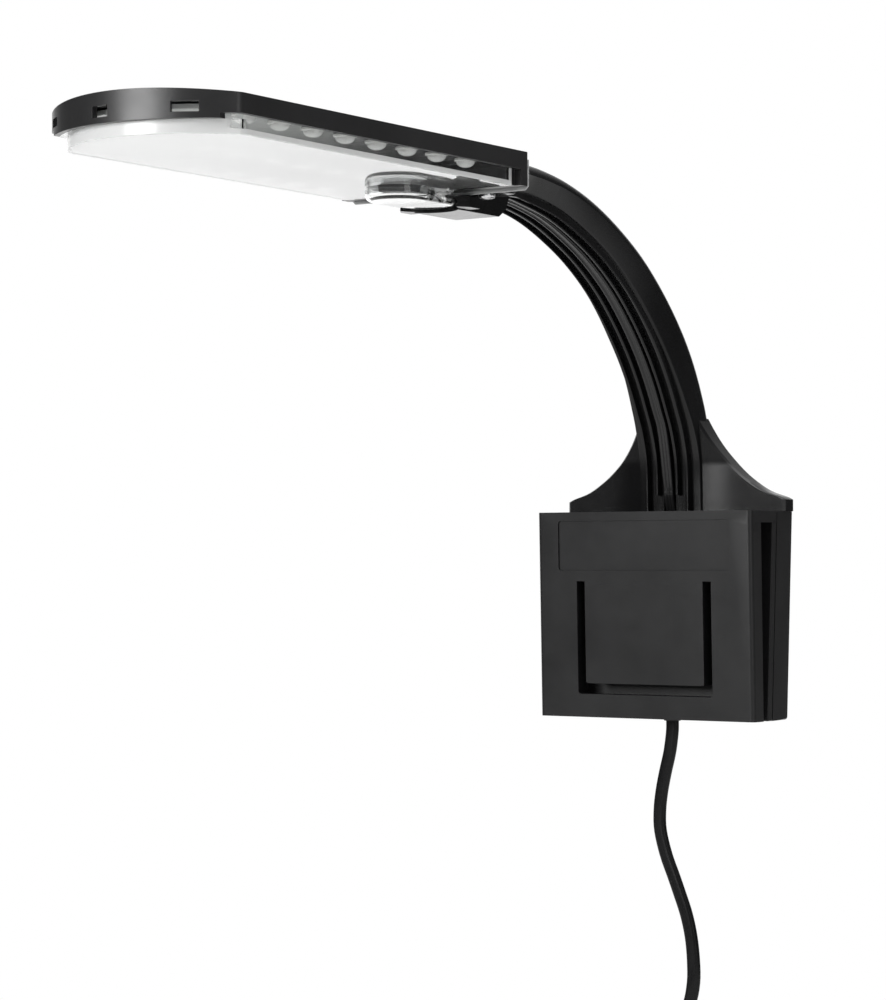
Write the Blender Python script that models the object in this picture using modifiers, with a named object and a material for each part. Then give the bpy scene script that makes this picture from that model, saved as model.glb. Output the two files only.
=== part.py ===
"""LED aquarium light that clips over the glass rim of a tank.

A flat paddle-shaped head with 24 LEDs behind a clear cover is carried on an arched, ribbed arm.
The arm stands on a clip shaped like an upside-down U: the tank's glass goes up into the slot
between the rear wall and a springy front jaw, and a tongue cut in the jaw presses on the glass.

Axes: X along the rim, the head reaches towards -Y over the water, Z is up.
The origin is the middle of the slot's ceiling, the spot that sits on the rim.
Every size below is in millimetres; the helpers turn millimetres into metres.
"""
import math

import bmesh
import bpy
from mathutils import Matrix, Vector

MM = 0.001
GAP = 0.3                      # clearance between neighbouring solids
MERGE = 1e-6                   # metres, welds the loose caps of a filled curve

# Clip: heights, and depths that lean forward from the slot's ceiling down to the bottom edge
CLIP_HALF_WIDTH = 38.0
BRIDGE_TOP = 4.0
CEILING = 0.0
CLIP_BOTTOM = -59.5
CORNER_RADIUS = 1.5
JAW_FRONT = (-9.73, -8.0)      # (at the ceiling, at the bottom)
SLOT_FRONT = (-3.6, -2.2)
SLOT_BACK = (3.6, 0.45)
REAR_WALL_BACK = (6.3, 3.15)
HOUSING_FRONT = (6.6, 3.45)
HOUSING_BACK = (17.05, 13.9)
BRIDGE_UNDERSIDE = 0.5
SEAT_HALF_WIDTH = 30.0         # raised seat in the slot's ceiling that lands on the rim
SEAT_HALF_DEPTH = 2.9
JAW_TOP = 0.15                 # hair line where the jaw flexes under the bridge

# Shallow panel pressed into the jaw's face, and the U-shaped slit that frees the tongue
PANEL_HALF_WIDTH = 30.4
PANEL_TOP = 1.3
PANEL_BOTTOM = -14.2
PANEL_DEPTH = 0.5
SLIT_OUTER = 23.85
SLIT_INNER = 20.95
SLIT_TOP = -17.4
SLIT_BOTTOM = -52.35
TONGUE_BOTTOM = -49.0
TONGUE_ROOT_GAP = 0.35
JAW_PIVOT = (0.0, -7.5, 0.33)
TONGUE_PIVOT = (0.0, -6.2, -17.6)

# Pocket of the rear housing, and what passes through its walls
POCKET_HALF_WIDTH = 29.0
POCKET_BACK = 14.3
POCKET_TOP = 0.6
POCKET_BOTTOM = -56.0
ROOT_PLATE_HALF_WIDTH = 20.0
ROOT_PLATE_FRONT = 10.6
ROOT_PLATE_BACK = 13.6
ROOT_PLATE_BOTTOM = -16.0
LEAD_PORT_HALF_WIDTH = 3.0
LEAD_PORT_FRONT = 7.2
CORD_PORT_RADIUS = 3.4
CORD_Y = 8.7
CORD_AT_CEILING = CORD_Y + 3.05    # the same line before the housing leans forward

# Screws that go in from the housing's back: x and z of each
CLIP_SCREWS = ((-33.3, -6.0), (33.3, -6.0), (-33.3, -52.0), (33.3, -52.0))
ARM_SCREWS = ((-12.0, -8.5), (12.0, -8.5))
SCREW_SHAFT = 1.3
SCREW_HEAD = 2.9
SCREW_HEAD_HEIGHT = 1.7
SCREW_SINK = 2.2               # depth of the counterbore in the housing's back

# Wiring inside the housing
SPLICE_X = (-2.6, 2.6)
SPLICE_RADIUS = 1.8
SPLICE_TOP = -20.0
SPLICE_BOTTOM = -32.0
SPLICE_Y = 8.6
INNER_CORD_TOP = -33.0
INNER_CORD_BOTTOM = -54.7
CLAMP_TOP = -42.0
CLAMP_BOTTOM = -47.0
GROMMET_TOP = -55.0
GROMMET_BOTTOM = -60.7
GROMMET_FLANGE = 4.1

# Arm: the outline of its foot, and its back and underside as pairs of points (y, z)
FOOT_BOTTOM = 4.3
FOOT_FRONT = 9.6
FOOT_BACK = 16.0
FOOT_PROFILE = ((38.9, 4.3), (38.9, 7.6), (37.0, 8.5), (31.2, 10.5), (25.2, 14.3),
                (20.8, 18.1), (17.3, 21.9), (14.5, 25.6), (12.2, 29.4), (10.3, 33.0))
ARM_BACK = ((16.0, 4.3), (16.0, 19.5), (14.7, 31.5), (11.3, 41.5), (5.6, 52.2), (-2.0, 62.2),
            (-12.0, 72.2), (-24.0, 81.3), (-38.0, 89.1), (-52.0, 95.0), (-66.0, 98.8),
            (-79.0, 100.7), (-91.0, 101.3), (-103.0, 101.3), (-118.0, 100.9))
ARM_UNDER = ((5.4, 4.3), (4.7, 19.0), (2.1, 28.4), (-1.3, 35.2), (-6.0, 43.4), (-12.4, 52.2),
             (-21.0, 61.5), (-31.0, 70.1), (-43.2, 77.8), (-56.0, 83.6), (-68.0, 87.7),
             (-80.0, 90.1), (-91.0, 91.5), (-103.0, 90.5), (-118.0, 90.4))
ARM_BACK_HALF_WIDTHS = (11.2, 11.0, 10.7, 10.4, 10.2, 10.0, 9.8, 9.8, 9.8, 9.8, 10.0, 10.4,
                        11.4, 15.0, 15.0)
ARM_UNDER_HALF_WIDTHS = (11.2, 11.0, 10.7, 10.2, 9.6, 9.0, 8.5, 8.2, 8.2, 8.2, 8.2, 8.2,
                         8.6, 14.6, 15.0)
RIB_HEIGHTS = (2.2, 2.2, 2.2, 2.2, 2.2, 2.2, 2.2, 2.2, 2.2, 2.2, 2.2, 2.2, 1.6, 0.02, 0.02)
STATIONS_PER_SPAN = 2
ARM_EDGE_RADIUS = 2.6
OUTER_RIB = (7.8, 6.6)         # outer and inner side of the rib pair next to the edges
INNER_RIB = (4.1, 3.0)         # and of the pair that fences the lead's channel
INNER_RIB_FOOT = 9.3           # height at which the inner pair ends above the clip

# Arm head: pad and collar under the lamp, socket for the lamp's tail
PAD_HALF_WIDTH = 7.3
PAD_PROFILE = ((-121.5, 85.2), (-99.5, 85.2), (-96.0, 87.4), (-93.5, 93.0), (-117.0, 93.0),
               (-118.0, 88.4), (-121.5, 88.4))
COLLAR_HALF_WIDTH = 11.6
COLLAR_FRONT = -123.5
COLLAR_BACK = -115.5
COLLAR_BOTTOM = 85.5
COLLAR_TOP = 88.4
SOCKET_HALF_WIDTH = 13.3
SOCKET_BOTTOM = 91.7
SOCKET_TOP = 98.6
SOCKET_BACK = -100.5
SOCKET_MOUTH = -118.0
LEAD_SLOT_HALF_WIDTH = 2.7

# Flat two-core lead in the arm's channel: (y, z) points under the head and down in the foot
LEAD_THICKNESS = 1.4
LEAD_HALF_WIDTH = 2.1
LEAD_DEPTH = 1.3               # centre of the lead below the ribs' edges
LEAD_TOP = ((-129.6, 96.2), (-120.0, 96.2), (-110.0, 96.2), (-102.0, 96.0), (-96.0, 94.9))
LEAD_BOTTOM = ((6.3, 13.2), (7.3, 9.6), (8.5, 6.6), (9.0, 3.0), (8.9, -1.5), (8.6, -8.0))

# Screws through the pad into the lamp's tail
HEAD_SCREW_X = (-10.4, 10.4)
HEAD_SCREW_Y = -110.4
HEAD_SCREW_SEAT = 90.1
HEAD_SCREW_LENGTH = 5.0

# Lamp head
HEAD_HALF_WIDTH = 30.1
HEAD_REAR = -119.2
HEAD_CREASE = -243.4           # where the straight sides meet the rounded nose
NOSE_RADIUS = 41.6
HEAD_TOP = 99.15               # top of the sides; the roof rises from there to the middle
HEAD_CROWN = 1.5
CROWN_STRIPS = 12
HEAD_BOTTOM = 89.9
HEAD_EDGE_RADIUS = 1.4
REAR_CORNER_RADIUS = 2.0
WALL = 1.6
CAVITY_TOP = 97.5
CAVITY_REAR = -124.2
SIDE_WALL_BOTTOM = 94.3
SIDE_WALL_REAR = -127.4
NOSE_WALL_BOTTOM = 93.0
NOSE_STEP = 26.2               # x where the nose wall steps up to the height of the sides
VENTS = ((-37.5, 8.0, 95.0, 97.3), (-4.6, 7.0, 94.5, 97.3),
         (27.5, 9.5, 94.5, 97.1))    # angle and width in degrees, lower and upper edge
TAIL_HALF_WIDTH = 13.0
TAIL_BOTTOM = 92.0
TAIL_TOP = 98.3
TAIL_END = -101.0
PASSAGE_HALF_WIDTH = 2.7
PASSAGE_BOTTOM = 95.1
PASSAGE_TOP = 97.3
SEAL_FRONT = -118.9
SEAL_BACK = -118.3
SEAL_BOTTOM = 89.1
SEAL_TOP = 97.4

# Clear cover with the capsule-shaped boss that holds the driver parts
COVER_HALF_WIDTH = 28.1
COVER_REAR = -124.3
COVER_CREASE = -239.5
COVER_APEX = -254.3
COVER_TOP = 95.0
COVER_BOTTOM = 89.7
COVER_WALL = 1.4
FLANGE_HALF_WIDTH = 28.0
FLANGE_REAR = -238.0
FLANGE_BOTTOM = 93.35
FLANGE_TOP = 94.45
BOSS_RADIUS = 9.4
BOSS_FRONT_CENTRE = -137.4
BOSS_REAR_CENTRE = -126.2
BOSS_BOTTOM = 86.0
BOSS_TOP = 88.8                # its rear end passes under the seal
BOSS_EDGE_RADIUS = 2.4
CUP_RADIUS = 7.2
CUP_BOTTOM = 87.4

# Light board
BOARD_HALF_WIDTH = 26.2
BOARD_REAR = -130.0
BOARD_NOSE_RADIUS = 32.9
BOARD_CREASE = -239.0
BOARD_BOTTOM = 95.9
BOARD_TOP = 97.1
LED_ROWS = ((-22.8, -140.1), (0.0, -153.5), (22.8, -140.1))    # x of the row, y of its first LED
LEDS_PER_ROW = 8
LED_PITCH = 13.4
LED_PROFILE = ((0.0, 0.0), (3.1, 0.0), (3.1, -0.8), (2.7, -1.5), (1.6, -2.2), (0.0, -2.4))

# Cord: the hanging stretch, the tied coil under it and the plug
CORD_RADIUS = 1.6
CORD_X = 0.0
CORD_ROUTE = ((0.0, -61.0), (-0.1, -64.4), (-1.0, -70.5), (-2.6, -76.8), (-3.9, -82.9),
              (-4.6, -88.8), (-4.4, -94.9), (-2.4, -102.3), (0.3, -108.8), (2.4, -114.0),
              (4.8, -120.3), (6.5, -127.2), (7.3, -134.4), (7.3, -141.4), (5.7, -148.2),
              (2.0, -154.0), (-0.8, -156.9))
CORD_STEPS_PER_SPAN = 3
COIL_CENTRE = (6.6, -189.0)    # x, z
COIL_INNER_RADIUS = 19.6
COIL_OUTER_RADIUS = 31.0
COIL_HALF_DEPTH = 5.2
COIL_EDGE = 2.0                # slant that stands for the round turns at the coil's edges
TIE_HALF_WIDTH = 2.5
TIE_THICKNESS = 1.0
TAIL_CORD_X = -22.8
TAIL_CORD_TOP = -202.6
TAIL_CORD_BOTTOM = -209.7
PLUG_TOP = -226.0
PLUG_BOTTOM = -251.0
BLADE_LENGTH = 17.0
BLADE_SPACING = 12.7

MATERIALS = {
    "black_plastic": ((0.012, 0.012, 0.013), 0.38, 0.0),
    "black_plastic_matt": ((0.016, 0.016, 0.017), 0.55, 0.0),
    "clear_plastic": ((0.92, 0.95, 0.96), 0.08, 0.0),
    "silicone": ((0.75, 0.76, 0.76), 0.35, 0.0),
    "board_white": ((0.78, 0.79, 0.78), 0.45, 0.0),
    "led_lens": ((0.95, 0.94, 0.88), 0.2, 0.0),
    "component_black": ((0.02, 0.02, 0.022), 0.4, 0.0),
    "steel": ((0.62, 0.62, 0.63), 0.28, 1.0),
    "cord_pvc": ((0.014, 0.014, 0.015), 0.42, 0.0),
    "brass": ((0.72, 0.6, 0.36), 0.3, 1.0),
}


# ---------------------------------------------------------------- helpers

def clear_scene():
    for obj in list(bpy.data.objects):
        bpy.data.objects.remove(obj, do_unlink=True)


def new_collection(name):
    collection = bpy.data.collections.new(name)
    bpy.context.scene.collection.children.link(collection)
    return collection


def make_materials():
    made = {}
    for name, (colour, roughness, metallic) in MATERIALS.items():
        material = bpy.data.materials.new(name)
        material.use_nodes = True
        shader = material.node_tree.nodes["Principled BSDF"]
        shader.inputs["Base Color"].default_value = (*colour, 1.0)
        shader.inputs["Roughness"].default_value = roughness
        shader.inputs["Metallic"].default_value = metallic
        made[name] = material
    return made


def add_part(name, mesh, material, smooth=False, pivot=(0.0, 0.0, 0.0)):
    """Link a finished mesh as one named sub-part whose origin is its pivot."""
    place = Vector(pivot) * MM
    mesh.transform(Matrix.Translation(-place))
    mesh.name = name
    mesh.materials.clear()
    mesh.materials.append(MADE[material])
    if smooth:
        mesh.shade_smooth()
        mesh.set_sharp_from_angle(angle=math.radians(35))
    obj = bpy.data.objects.new(name, mesh)
    obj.location = place
    PARTS.objects.link(obj)
    return obj


def add_cutter(mesh):
    obj = bpy.data.objects.new("cutter", mesh)
    obj.hide_render = True
    obj.display_type = "WIRE"
    CUTTERS.objects.link(obj)
    return obj


def evaluated_mesh(obj, flat=False):
    """The object's mesh with its modifiers applied, welded, facing out, flat caps in one."""
    graph = bpy.context.evaluated_depsgraph_get()
    graph.update()
    mesh = bpy.data.meshes.new_from_object(obj.evaluated_get(graph), depsgraph=graph)
    mesh.transform(obj.matrix_world)
    work = bmesh.new()
    work.from_mesh(mesh)
    bmesh.ops.remove_doubles(work, verts=work.verts, dist=MERGE)
    if flat:
        bmesh.ops.dissolve_limit(work, angle_limit=0.001, verts=work.verts, edges=work.edges)
    bmesh.ops.recalc_face_normals(work, faces=work.faces)
    work.to_mesh(mesh)
    work.free()
    return mesh


def combine(mesh, others, operation):
    """Boolean of one mesh with several others, one after the other."""
    for other in others:
        target = add_cutter(mesh)
        tool = add_cutter(other)
        step = target.modifiers.new("cut", "BOOLEAN")
        step.operation = operation
        step.solver = "EXACT"
        step.object = tool
        mesh = evaluated_mesh(target)
        bpy.data.objects.remove(target, do_unlink=True)
        bpy.data.objects.remove(tool, do_unlink=True)
    return mesh


def cut(mesh, *tools):
    return combine(mesh, tools, "DIFFERENCE")


def join(mesh, *others):
    return combine(mesh, others, "UNION")


def box(x_range, y_range, z_range):
    """Box between two corners given in millimetres."""
    low = Vector((x_range[0], y_range[0], z_range[0])) * MM
    high = Vector((x_range[1], y_range[1], z_range[1])) * MM
    work = bmesh.new()
    bmesh.ops.create_cube(work, size=1.0)
    bmesh.ops.scale(work, vec=high - low, verts=work.verts)
    bmesh.ops.translate(work, vec=(low + high) / 2, verts=work.verts)
    mesh = bpy.data.meshes.new("box")
    work.to_mesh(mesh)
    work.free()
    return mesh


def rod(axis, centre, radius, low, high, sides=20, end_radius=None):
    """Cylinder or cone along X, Y or Z; centre holds the other two coordinates in order."""
    work = bmesh.new()
    top = radius if end_radius is None else end_radius
    bmesh.ops.create_cone(work, cap_ends=True, segments=sides, radius1=radius * MM,
                          radius2=top * MM, depth=(high - low) * MM)
    if axis == "X":
        turn = Matrix.Rotation(math.radians(90), 4, "Y")
        middle = ((low + high) / 2, centre[0], centre[1])
    elif axis == "Y":
        turn = Matrix.Rotation(math.radians(-90), 4, "X")
        middle = (centre[0], (low + high) / 2, centre[1])
    else:
        turn = Matrix.Identity(4)
        middle = (centre[0], centre[1], (low + high) / 2)
    bmesh.ops.transform(work, matrix=turn, verts=work.verts)
    bmesh.ops.translate(work, vec=Vector(middle) * MM, verts=work.verts)
    mesh = bpy.data.meshes.new("rod")
    work.to_mesh(mesh)
    work.free()
    return mesh


PLANES = {
    "XY": Matrix(((1, 0, 0), (0, 1, 0), (0, 0, 1))),
    "YZ": Matrix(((0, 0, 1), (1, 0, 0), (0, 1, 0))),
    "XZ": Matrix(((1, 0, 0), (0, 0, -1), (0, 1, 0))),
}


def slab(plane, points, low, high):
    """Flat outline drawn in a plane and extruded across it from low to high."""
    curve = bpy.data.curves.new("outline", "CURVE")
    curve.dimensions = "2D"
    curve.fill_mode = "BOTH"
    curve.extrude = (high - low) / 2 * MM
    spline = curve.splines.new("POLY")
    spline.points.add(len(points) - 1)
    for point, (u, v) in zip(spline.points, points):
        point.co = (u * MM, v * MM, 0.0, 1.0)
    spline.use_cyclic_u = True
    obj = bpy.data.objects.new("outline", curve)
    middle = (low + high) / 2 * MM
    sign = -1.0 if plane == "XZ" else 1.0
    offset = Matrix.Translation((0.0, 0.0, sign * middle))
    obj.matrix_world = PLANES[plane].to_4x4() @ offset
    CUTTERS.objects.link(obj)
    bpy.context.view_layer.update()
    mesh = evaluated_mesh(obj, flat=True)
    bpy.data.objects.remove(obj, do_unlink=True)
    return mesh


def turned(profile, steps):
    """Solid of revolution about Z from (radius, height) points that run top to bottom."""
    mesh = bpy.data.meshes.new("profile")
    points = [(radius * MM, 0.0, height * MM) for radius, height in profile]
    edges = [(i, i + 1) for i in range(len(points) - 1)]
    mesh.from_pydata(points, edges, [])
    obj = add_cutter(mesh)
    screw = obj.modifiers.new("turn", "SCREW")
    screw.steps = steps
    screw.render_steps = steps
    screw.use_merge_vertices = True
    screw.merge_threshold = 0.00001
    result = evaluated_mesh(obj)
    bpy.data.objects.remove(obj, do_unlink=True)
    return result


def tube(points, radius, resolution):
    """Round tube along a polyline of (x, y, z) points, with filled ends."""
    curve = bpy.data.curves.new("tube", "CURVE")
    curve.dimensions = "3D"
    curve.bevel_depth = radius * MM
    curve.bevel_resolution = resolution
    curve.use_fill_caps = True
    spline = curve.splines.new("POLY")
    spline.points.add(len(points) - 1)
    for point, place in zip(spline.points, points):
        point.co = (*(Vector(place) * MM), 1.0)
    obj = bpy.data.objects.new("tube", curve)
    CUTTERS.objects.link(obj)
    mesh = evaluated_mesh(obj)
    bpy.data.objects.remove(obj, do_unlink=True)
    return mesh


def round_edges(mesh, wanted, width, segments):
    """Bevel the edges whose two ends both pass the test."""
    work = bmesh.new()
    work.from_mesh(mesh)
    chosen = [e for e in work.edges
              if len(e.link_faces) == 2 and e.calc_face_angle(0.0) > math.radians(25)
              and all(wanted(v.co / MM) for v in e.verts)]
    bmesh.ops.bevel(work, geom=chosen, offset=width * MM, segments=segments, profile=0.5,
                    affect="EDGES")
    work.to_mesh(mesh)
    work.free()
    return mesh


def smooth_path(points, steps):
    """Catmull-Rom curve through the points, with some steps on each span."""
    ends = [Vector(p) for p in points]
    before = ends[0] * 2 - ends[1]
    after = ends[-1] * 2 - ends[-2]
    chain = [before, *ends, after]
    path = []
    for a, b, c, d in zip(chain, chain[1:], chain[2:], chain[3:]):
        for step in range(steps):
            t = step / steps
            path.append(0.5 * (2 * b + (c - a) * t + (2 * a - 5 * b + 4 * c - d) * t * t
                               + (3 * b - a - 3 * c + d) * t ** 3))
    path.append(ends[-1])
    return path


def arc(centre, radius, start, end, steps):
    """Points on an arc, angles in degrees counted from +X."""
    angles = [math.radians(start + (end - start) * i / steps) for i in range(steps + 1)]
    return [(centre[0] + radius * math.cos(a), centre[1] + radius * math.sin(a))
            for a in angles]


def at_height(pair, z):
    """Depth at a height of a face that leans from pair[0] at the ceiling to pair[1] below."""
    return pair[0] + (pair[1] - pair[0]) * (CEILING - z) / (CEILING - CLIP_BOTTOM)


def lean(mesh, front, back):
    """Lean a solid built upright, so that its front and back follow two slanted faces."""
    for vertex in mesh.vertices:
        y = vertex.co.y / MM
        z = vertex.co.z / MM
        share = (y - front[0]) / (back[0] - front[0])
        low = at_height(front, z)
        high = at_height(back, z)
        vertex.co.y = (low + (high - low) * share) * MM
    return mesh


def rounded_plan(half_width, front, back, radius, front_round, back_round):
    """Rectangle seen from above with its front or back corners rounded."""
    points = []
    corners = ((half_width, back, 0, back_round), (-half_width, back, 90, back_round),
               (-half_width, front, 180, front_round), (half_width, front, 270, front_round))
    for x, y, start, is_round in corners:
        if is_round:
            centre = (x - math.copysign(radius, x), y - radius if y == back else y + radius)
            points += arc(centre, radius, start, start + 90, 4)
        else:
            points.append((x, y))
    return points


def nose_outline(half_width, rear, crease, radius, corner=0.0, steps=16):
    """Plan of the lamp: straight sides, a rounded nose towards -Y, optional rear corners."""
    centre_y = crease + math.sqrt(radius ** 2 - half_width ** 2)
    half_angle = math.degrees(math.asin(half_width / radius))
    points = arc((0.0, centre_y), radius, 270 - half_angle, 270 + half_angle, steps)
    if corner:
        points += arc((half_width - corner, rear - corner), corner, 0, 90, 3)
        points += arc((corner - half_width, rear - corner), corner, 90, 180, 3)
    else:
        points += [(half_width, rear), (-half_width, rear)]
    return points


def capsule_outline(radius, front_centre, rear_centre, steps=10):
    """Stadium seen from above, long along Y."""
    return (arc((0.0, front_centre), radius, 180, 360, steps)
            + arc((0.0, rear_centre), radius, 0, 180, steps))


# ---------------------------------------------------------------- clip

def panel_cutter():
    front = JAW_FRONT[0]
    return box((-PANEL_HALF_WIDTH, PANEL_HALF_WIDTH), (front - 1.0, front + PANEL_DEPTH),
               (PANEL_BOTTOM, PANEL_TOP))


def clip_body():
    """Bridge over the rim and the rear wall that stands behind the glass."""
    bridge = slab("XY", rounded_plan(CLIP_HALF_WIDTH, JAW_FRONT[0], REAR_WALL_BACK[0],
                                     CORNER_RADIUS, True, False), BRIDGE_UNDERSIDE, BRIDGE_TOP)
    bridge = round_edges(bridge, lambda v: v.z > BRIDGE_TOP - 0.01 and v.y < 6.0, 0.6, 1)
    bridge = cut(bridge, panel_cutter())
    wall = box((-CLIP_HALF_WIDTH, CLIP_HALF_WIDTH), (SLOT_BACK[0], REAR_WALL_BACK[0]),
               (CLIP_BOTTOM, BRIDGE_UNDERSIDE + 0.5))
    wall = lean(wall, SLOT_BACK, REAR_WALL_BACK)
    seat = box((-SEAT_HALF_WIDTH, SEAT_HALF_WIDTH), (-SEAT_HALF_DEPTH, SEAT_HALF_DEPTH),
               (CEILING, BRIDGE_UNDERSIDE + 0.5))
    body = join(bridge, wall, seat)
    blind_holes = [rod("Y", (x, z), 1.5, at_height(REAR_WALL_BACK, z) - 1.5,
                       at_height(REAR_WALL_BACK, z) + 2.0, 12) for x, z in CLIP_SCREWS]
    add_part("clip_body", cut(body, *blind_holes), "black_plastic_matt")


def front_jaw():
    """Springy front wall with its pressed panel and the window round the tongue."""
    plate = slab("XY", rounded_plan(CLIP_HALF_WIDTH, JAW_FRONT[0], SLOT_FRONT[0],
                                    CORNER_RADIUS, True, False), CLIP_BOTTOM, JAW_TOP)
    window = box((-SLIT_OUTER, SLIT_OUTER), (JAW_FRONT[0] - 1, SLOT_FRONT[0] + 1),
                 (SLIT_BOTTOM, SLIT_TOP))
    plate = lean(cut(plate, panel_cutter(), window), JAW_FRONT, SLOT_FRONT)
    add_part("front_jaw", plate, "black_plastic_matt", pivot=JAW_PIVOT)


def spring_tongue():
    tongue = box((-SLIT_INNER, SLIT_INNER), (JAW_FRONT[0], SLOT_FRONT[0]),
                 (TONGUE_BOTTOM, SLIT_TOP - TONGUE_ROOT_GAP))
    add_part("spring_tongue", lean(tongue, JAW_FRONT, SLOT_FRONT), "black_plastic_matt",
             pivot=TONGUE_PIVOT)


def rear_housing():
    """Shell behind the rear wall that takes the arm's root, the splices and the cord."""
    shell = slab("XY", rounded_plan(CLIP_HALF_WIDTH, HOUSING_FRONT[0], HOUSING_BACK[0],
                                    CORNER_RADIUS, False, True), CLIP_BOTTOM, BRIDGE_TOP)
    pocket = box((-POCKET_HALF_WIDTH, POCKET_HALF_WIDTH), (HOUSING_FRONT[0] - 1, POCKET_BACK),
                 (POCKET_BOTTOM, POCKET_TOP))
    root_slot = box((-ROOT_PLATE_HALF_WIDTH - GAP, ROOT_PLATE_HALF_WIDTH + GAP),
                    (ROOT_PLATE_FRONT - GAP, ROOT_PLATE_BACK + GAP), (0.0, BRIDGE_TOP + 1))
    lead_port = box((-LEAD_PORT_HALF_WIDTH, LEAD_PORT_HALF_WIDTH),
                    (LEAD_PORT_FRONT, ROOT_PLATE_FRONT), (0.0, BRIDGE_TOP + 1))
    cord_port = rod("Z", (CORD_X, CORD_AT_CEILING), CORD_PORT_RADIUS, CLIP_BOTTOM - 1,
                    POCKET_BOTTOM + 1, 24)
    grommet_seat = rod("Z", (CORD_X, CORD_AT_CEILING), GROMMET_FLANGE + GAP, POCKET_BOTTOM,
                       GROMMET_TOP + 3.0, 24)
    shell = lean(cut(shell, pocket, root_slot, lead_port, cord_port, grommet_seat),
                 HOUSING_FRONT, HOUSING_BACK)
    holes = []
    for x, z in CLIP_SCREWS + ARM_SCREWS:
        back = at_height(HOUSING_BACK, z)
        holes.append(rod("Y", (x, z), SCREW_SHAFT + GAP, 0.0, back + 1, 12))
        holes.append(rod("Y", (x, z), SCREW_HEAD + GAP, back - SCREW_SINK, back + 1, 20))
    add_part("rear_housing", cut(shell, *holes), "black_plastic_matt")


def screw_mesh(axis, centre, seat, direction, shaft_length, head_radius, head_height):
    """Pan-head screw; its head stands on the seat and its shaft goes the other way."""
    tip = seat - direction * shaft_length
    crown = seat + direction * head_height
    shaft = rod(axis, centre, SCREW_SHAFT, min(tip, seat + direction * 0.3),
                max(tip, seat + direction * 0.3), 12)
    if direction > 0:
        head = rod(axis, centre, head_radius, seat, crown, 20, head_radius * 0.75)
    else:
        head = rod(axis, centre, head_radius * 0.75, crown, seat, 20, head_radius)
    return join(head, shaft)


def housing_screws():
    for number, (x, z) in enumerate(CLIP_SCREWS, 1):
        seat = at_height(HOUSING_BACK, z) - SCREW_SINK + GAP
        length = seat - at_height(REAR_WALL_BACK, z) + 1.1
        mesh = screw_mesh("Y", (x, z), seat, 1, length, SCREW_HEAD, SCREW_HEAD_HEIGHT)
        add_part(f"clip_screw_{number}", mesh, "steel", smooth=True)
    for number, (x, z) in enumerate(ARM_SCREWS, 1):
        seat = at_height(HOUSING_BACK, z) - SCREW_SINK + GAP
        mesh = screw_mesh("Y", (x, z), seat, 1, 3.2, SCREW_HEAD, SCREW_HEAD_HEIGHT)
        add_part(f"arm_screw_{number}", mesh, "steel", smooth=True)


# ---------------------------------------------------------------- arm

def arm_section(back, under, back_half, under_half, rib):
    """One ring of the arm: rounded back edges, flat sides and the ribs of the underside."""
    back = Vector((0.0, back.x, back.y))
    under = Vector((0.0, under.x, under.y))
    depth = (under - back).length
    inward = (under - back) / depth
    floor = depth - rib
    radius = ARM_EDGE_RADIUS
    corner = [(back_half - radius + radius * math.sin(a), radius - radius * math.cos(a))
              for a in (0.0, math.pi / 6, math.pi / 3, math.pi / 2)]
    half = [*corner, (under_half, floor - 0.6), (under_half - 0.6, floor)]
    for outer, inner in (OUTER_RIB, INNER_RIB):
        outer = min(outer, under_half - 0.3) if (outer, inner) == OUTER_RIB else outer
        half += [(outer, floor), (outer, depth), (inner, depth), (inner, floor)]
    ring = half + [(-x, n) for x, n in reversed(half)]
    return [Vector((x, 0, 0)) + back + inward * n for x, n in ring]


def arm_loft():
    """Curved beam from the foot to the lamp, lofted through the sections."""
    steps = STATIONS_PER_SPAN
    backs = smooth_path(ARM_BACK, steps)
    unders = smooth_path(ARM_UNDER, steps)
    sizes = smooth_path(list(zip(ARM_BACK_HALF_WIDTHS, ARM_UNDER_HALF_WIDTHS, RIB_HEIGHTS)),
                        steps)
    work = bmesh.new()
    rings = []
    for back, under, (back_half, under_half, rib) in zip(backs, unders, sizes):
        section = arm_section(back, under, back_half, under_half, max(rib, 0.02))
        rings.append([work.verts.new(point * MM) for point in section])
    for first, second in zip(rings, rings[1:]):
        count = len(first)
        for i in range(count):
            j = (i + 1) % count
            work.faces.new((first[i], first[j], second[j], second[i]))
    work.faces.new(rings[0])
    work.faces.new(list(reversed(rings[-1])))
    bmesh.ops.recalc_face_normals(work, faces=work.faces)
    mesh = bpy.data.meshes.new("arm")
    work.to_mesh(mesh)
    work.free()
    return mesh


def foot_plate():
    """Fish-tail plate that spreads the arm over the clip's width."""
    right = [tuple(p) for p in smooth_path(FOOT_PROFILE[1:], 2)]
    outline = [FOOT_PROFILE[0], *right]
    outline += [(-x, z) for x, z in reversed(outline)]
    plate = slab("XZ", outline, FOOT_FRONT, FOOT_BACK)
    for vertex in plate.vertices:
        vertex.co.y -= back_lean(vertex.co.z / MM) * MM
    return plate


def back_lean(height):
    """How far the arm's back has curved forward at a height near its foot."""
    (y_low, z_low), (y_high, z_high) = ARM_BACK[1:3]
    share = max(0.0, (height - z_low) / (z_high - z_low))
    return share * (y_low - y_high) + 0.3 * share


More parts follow.
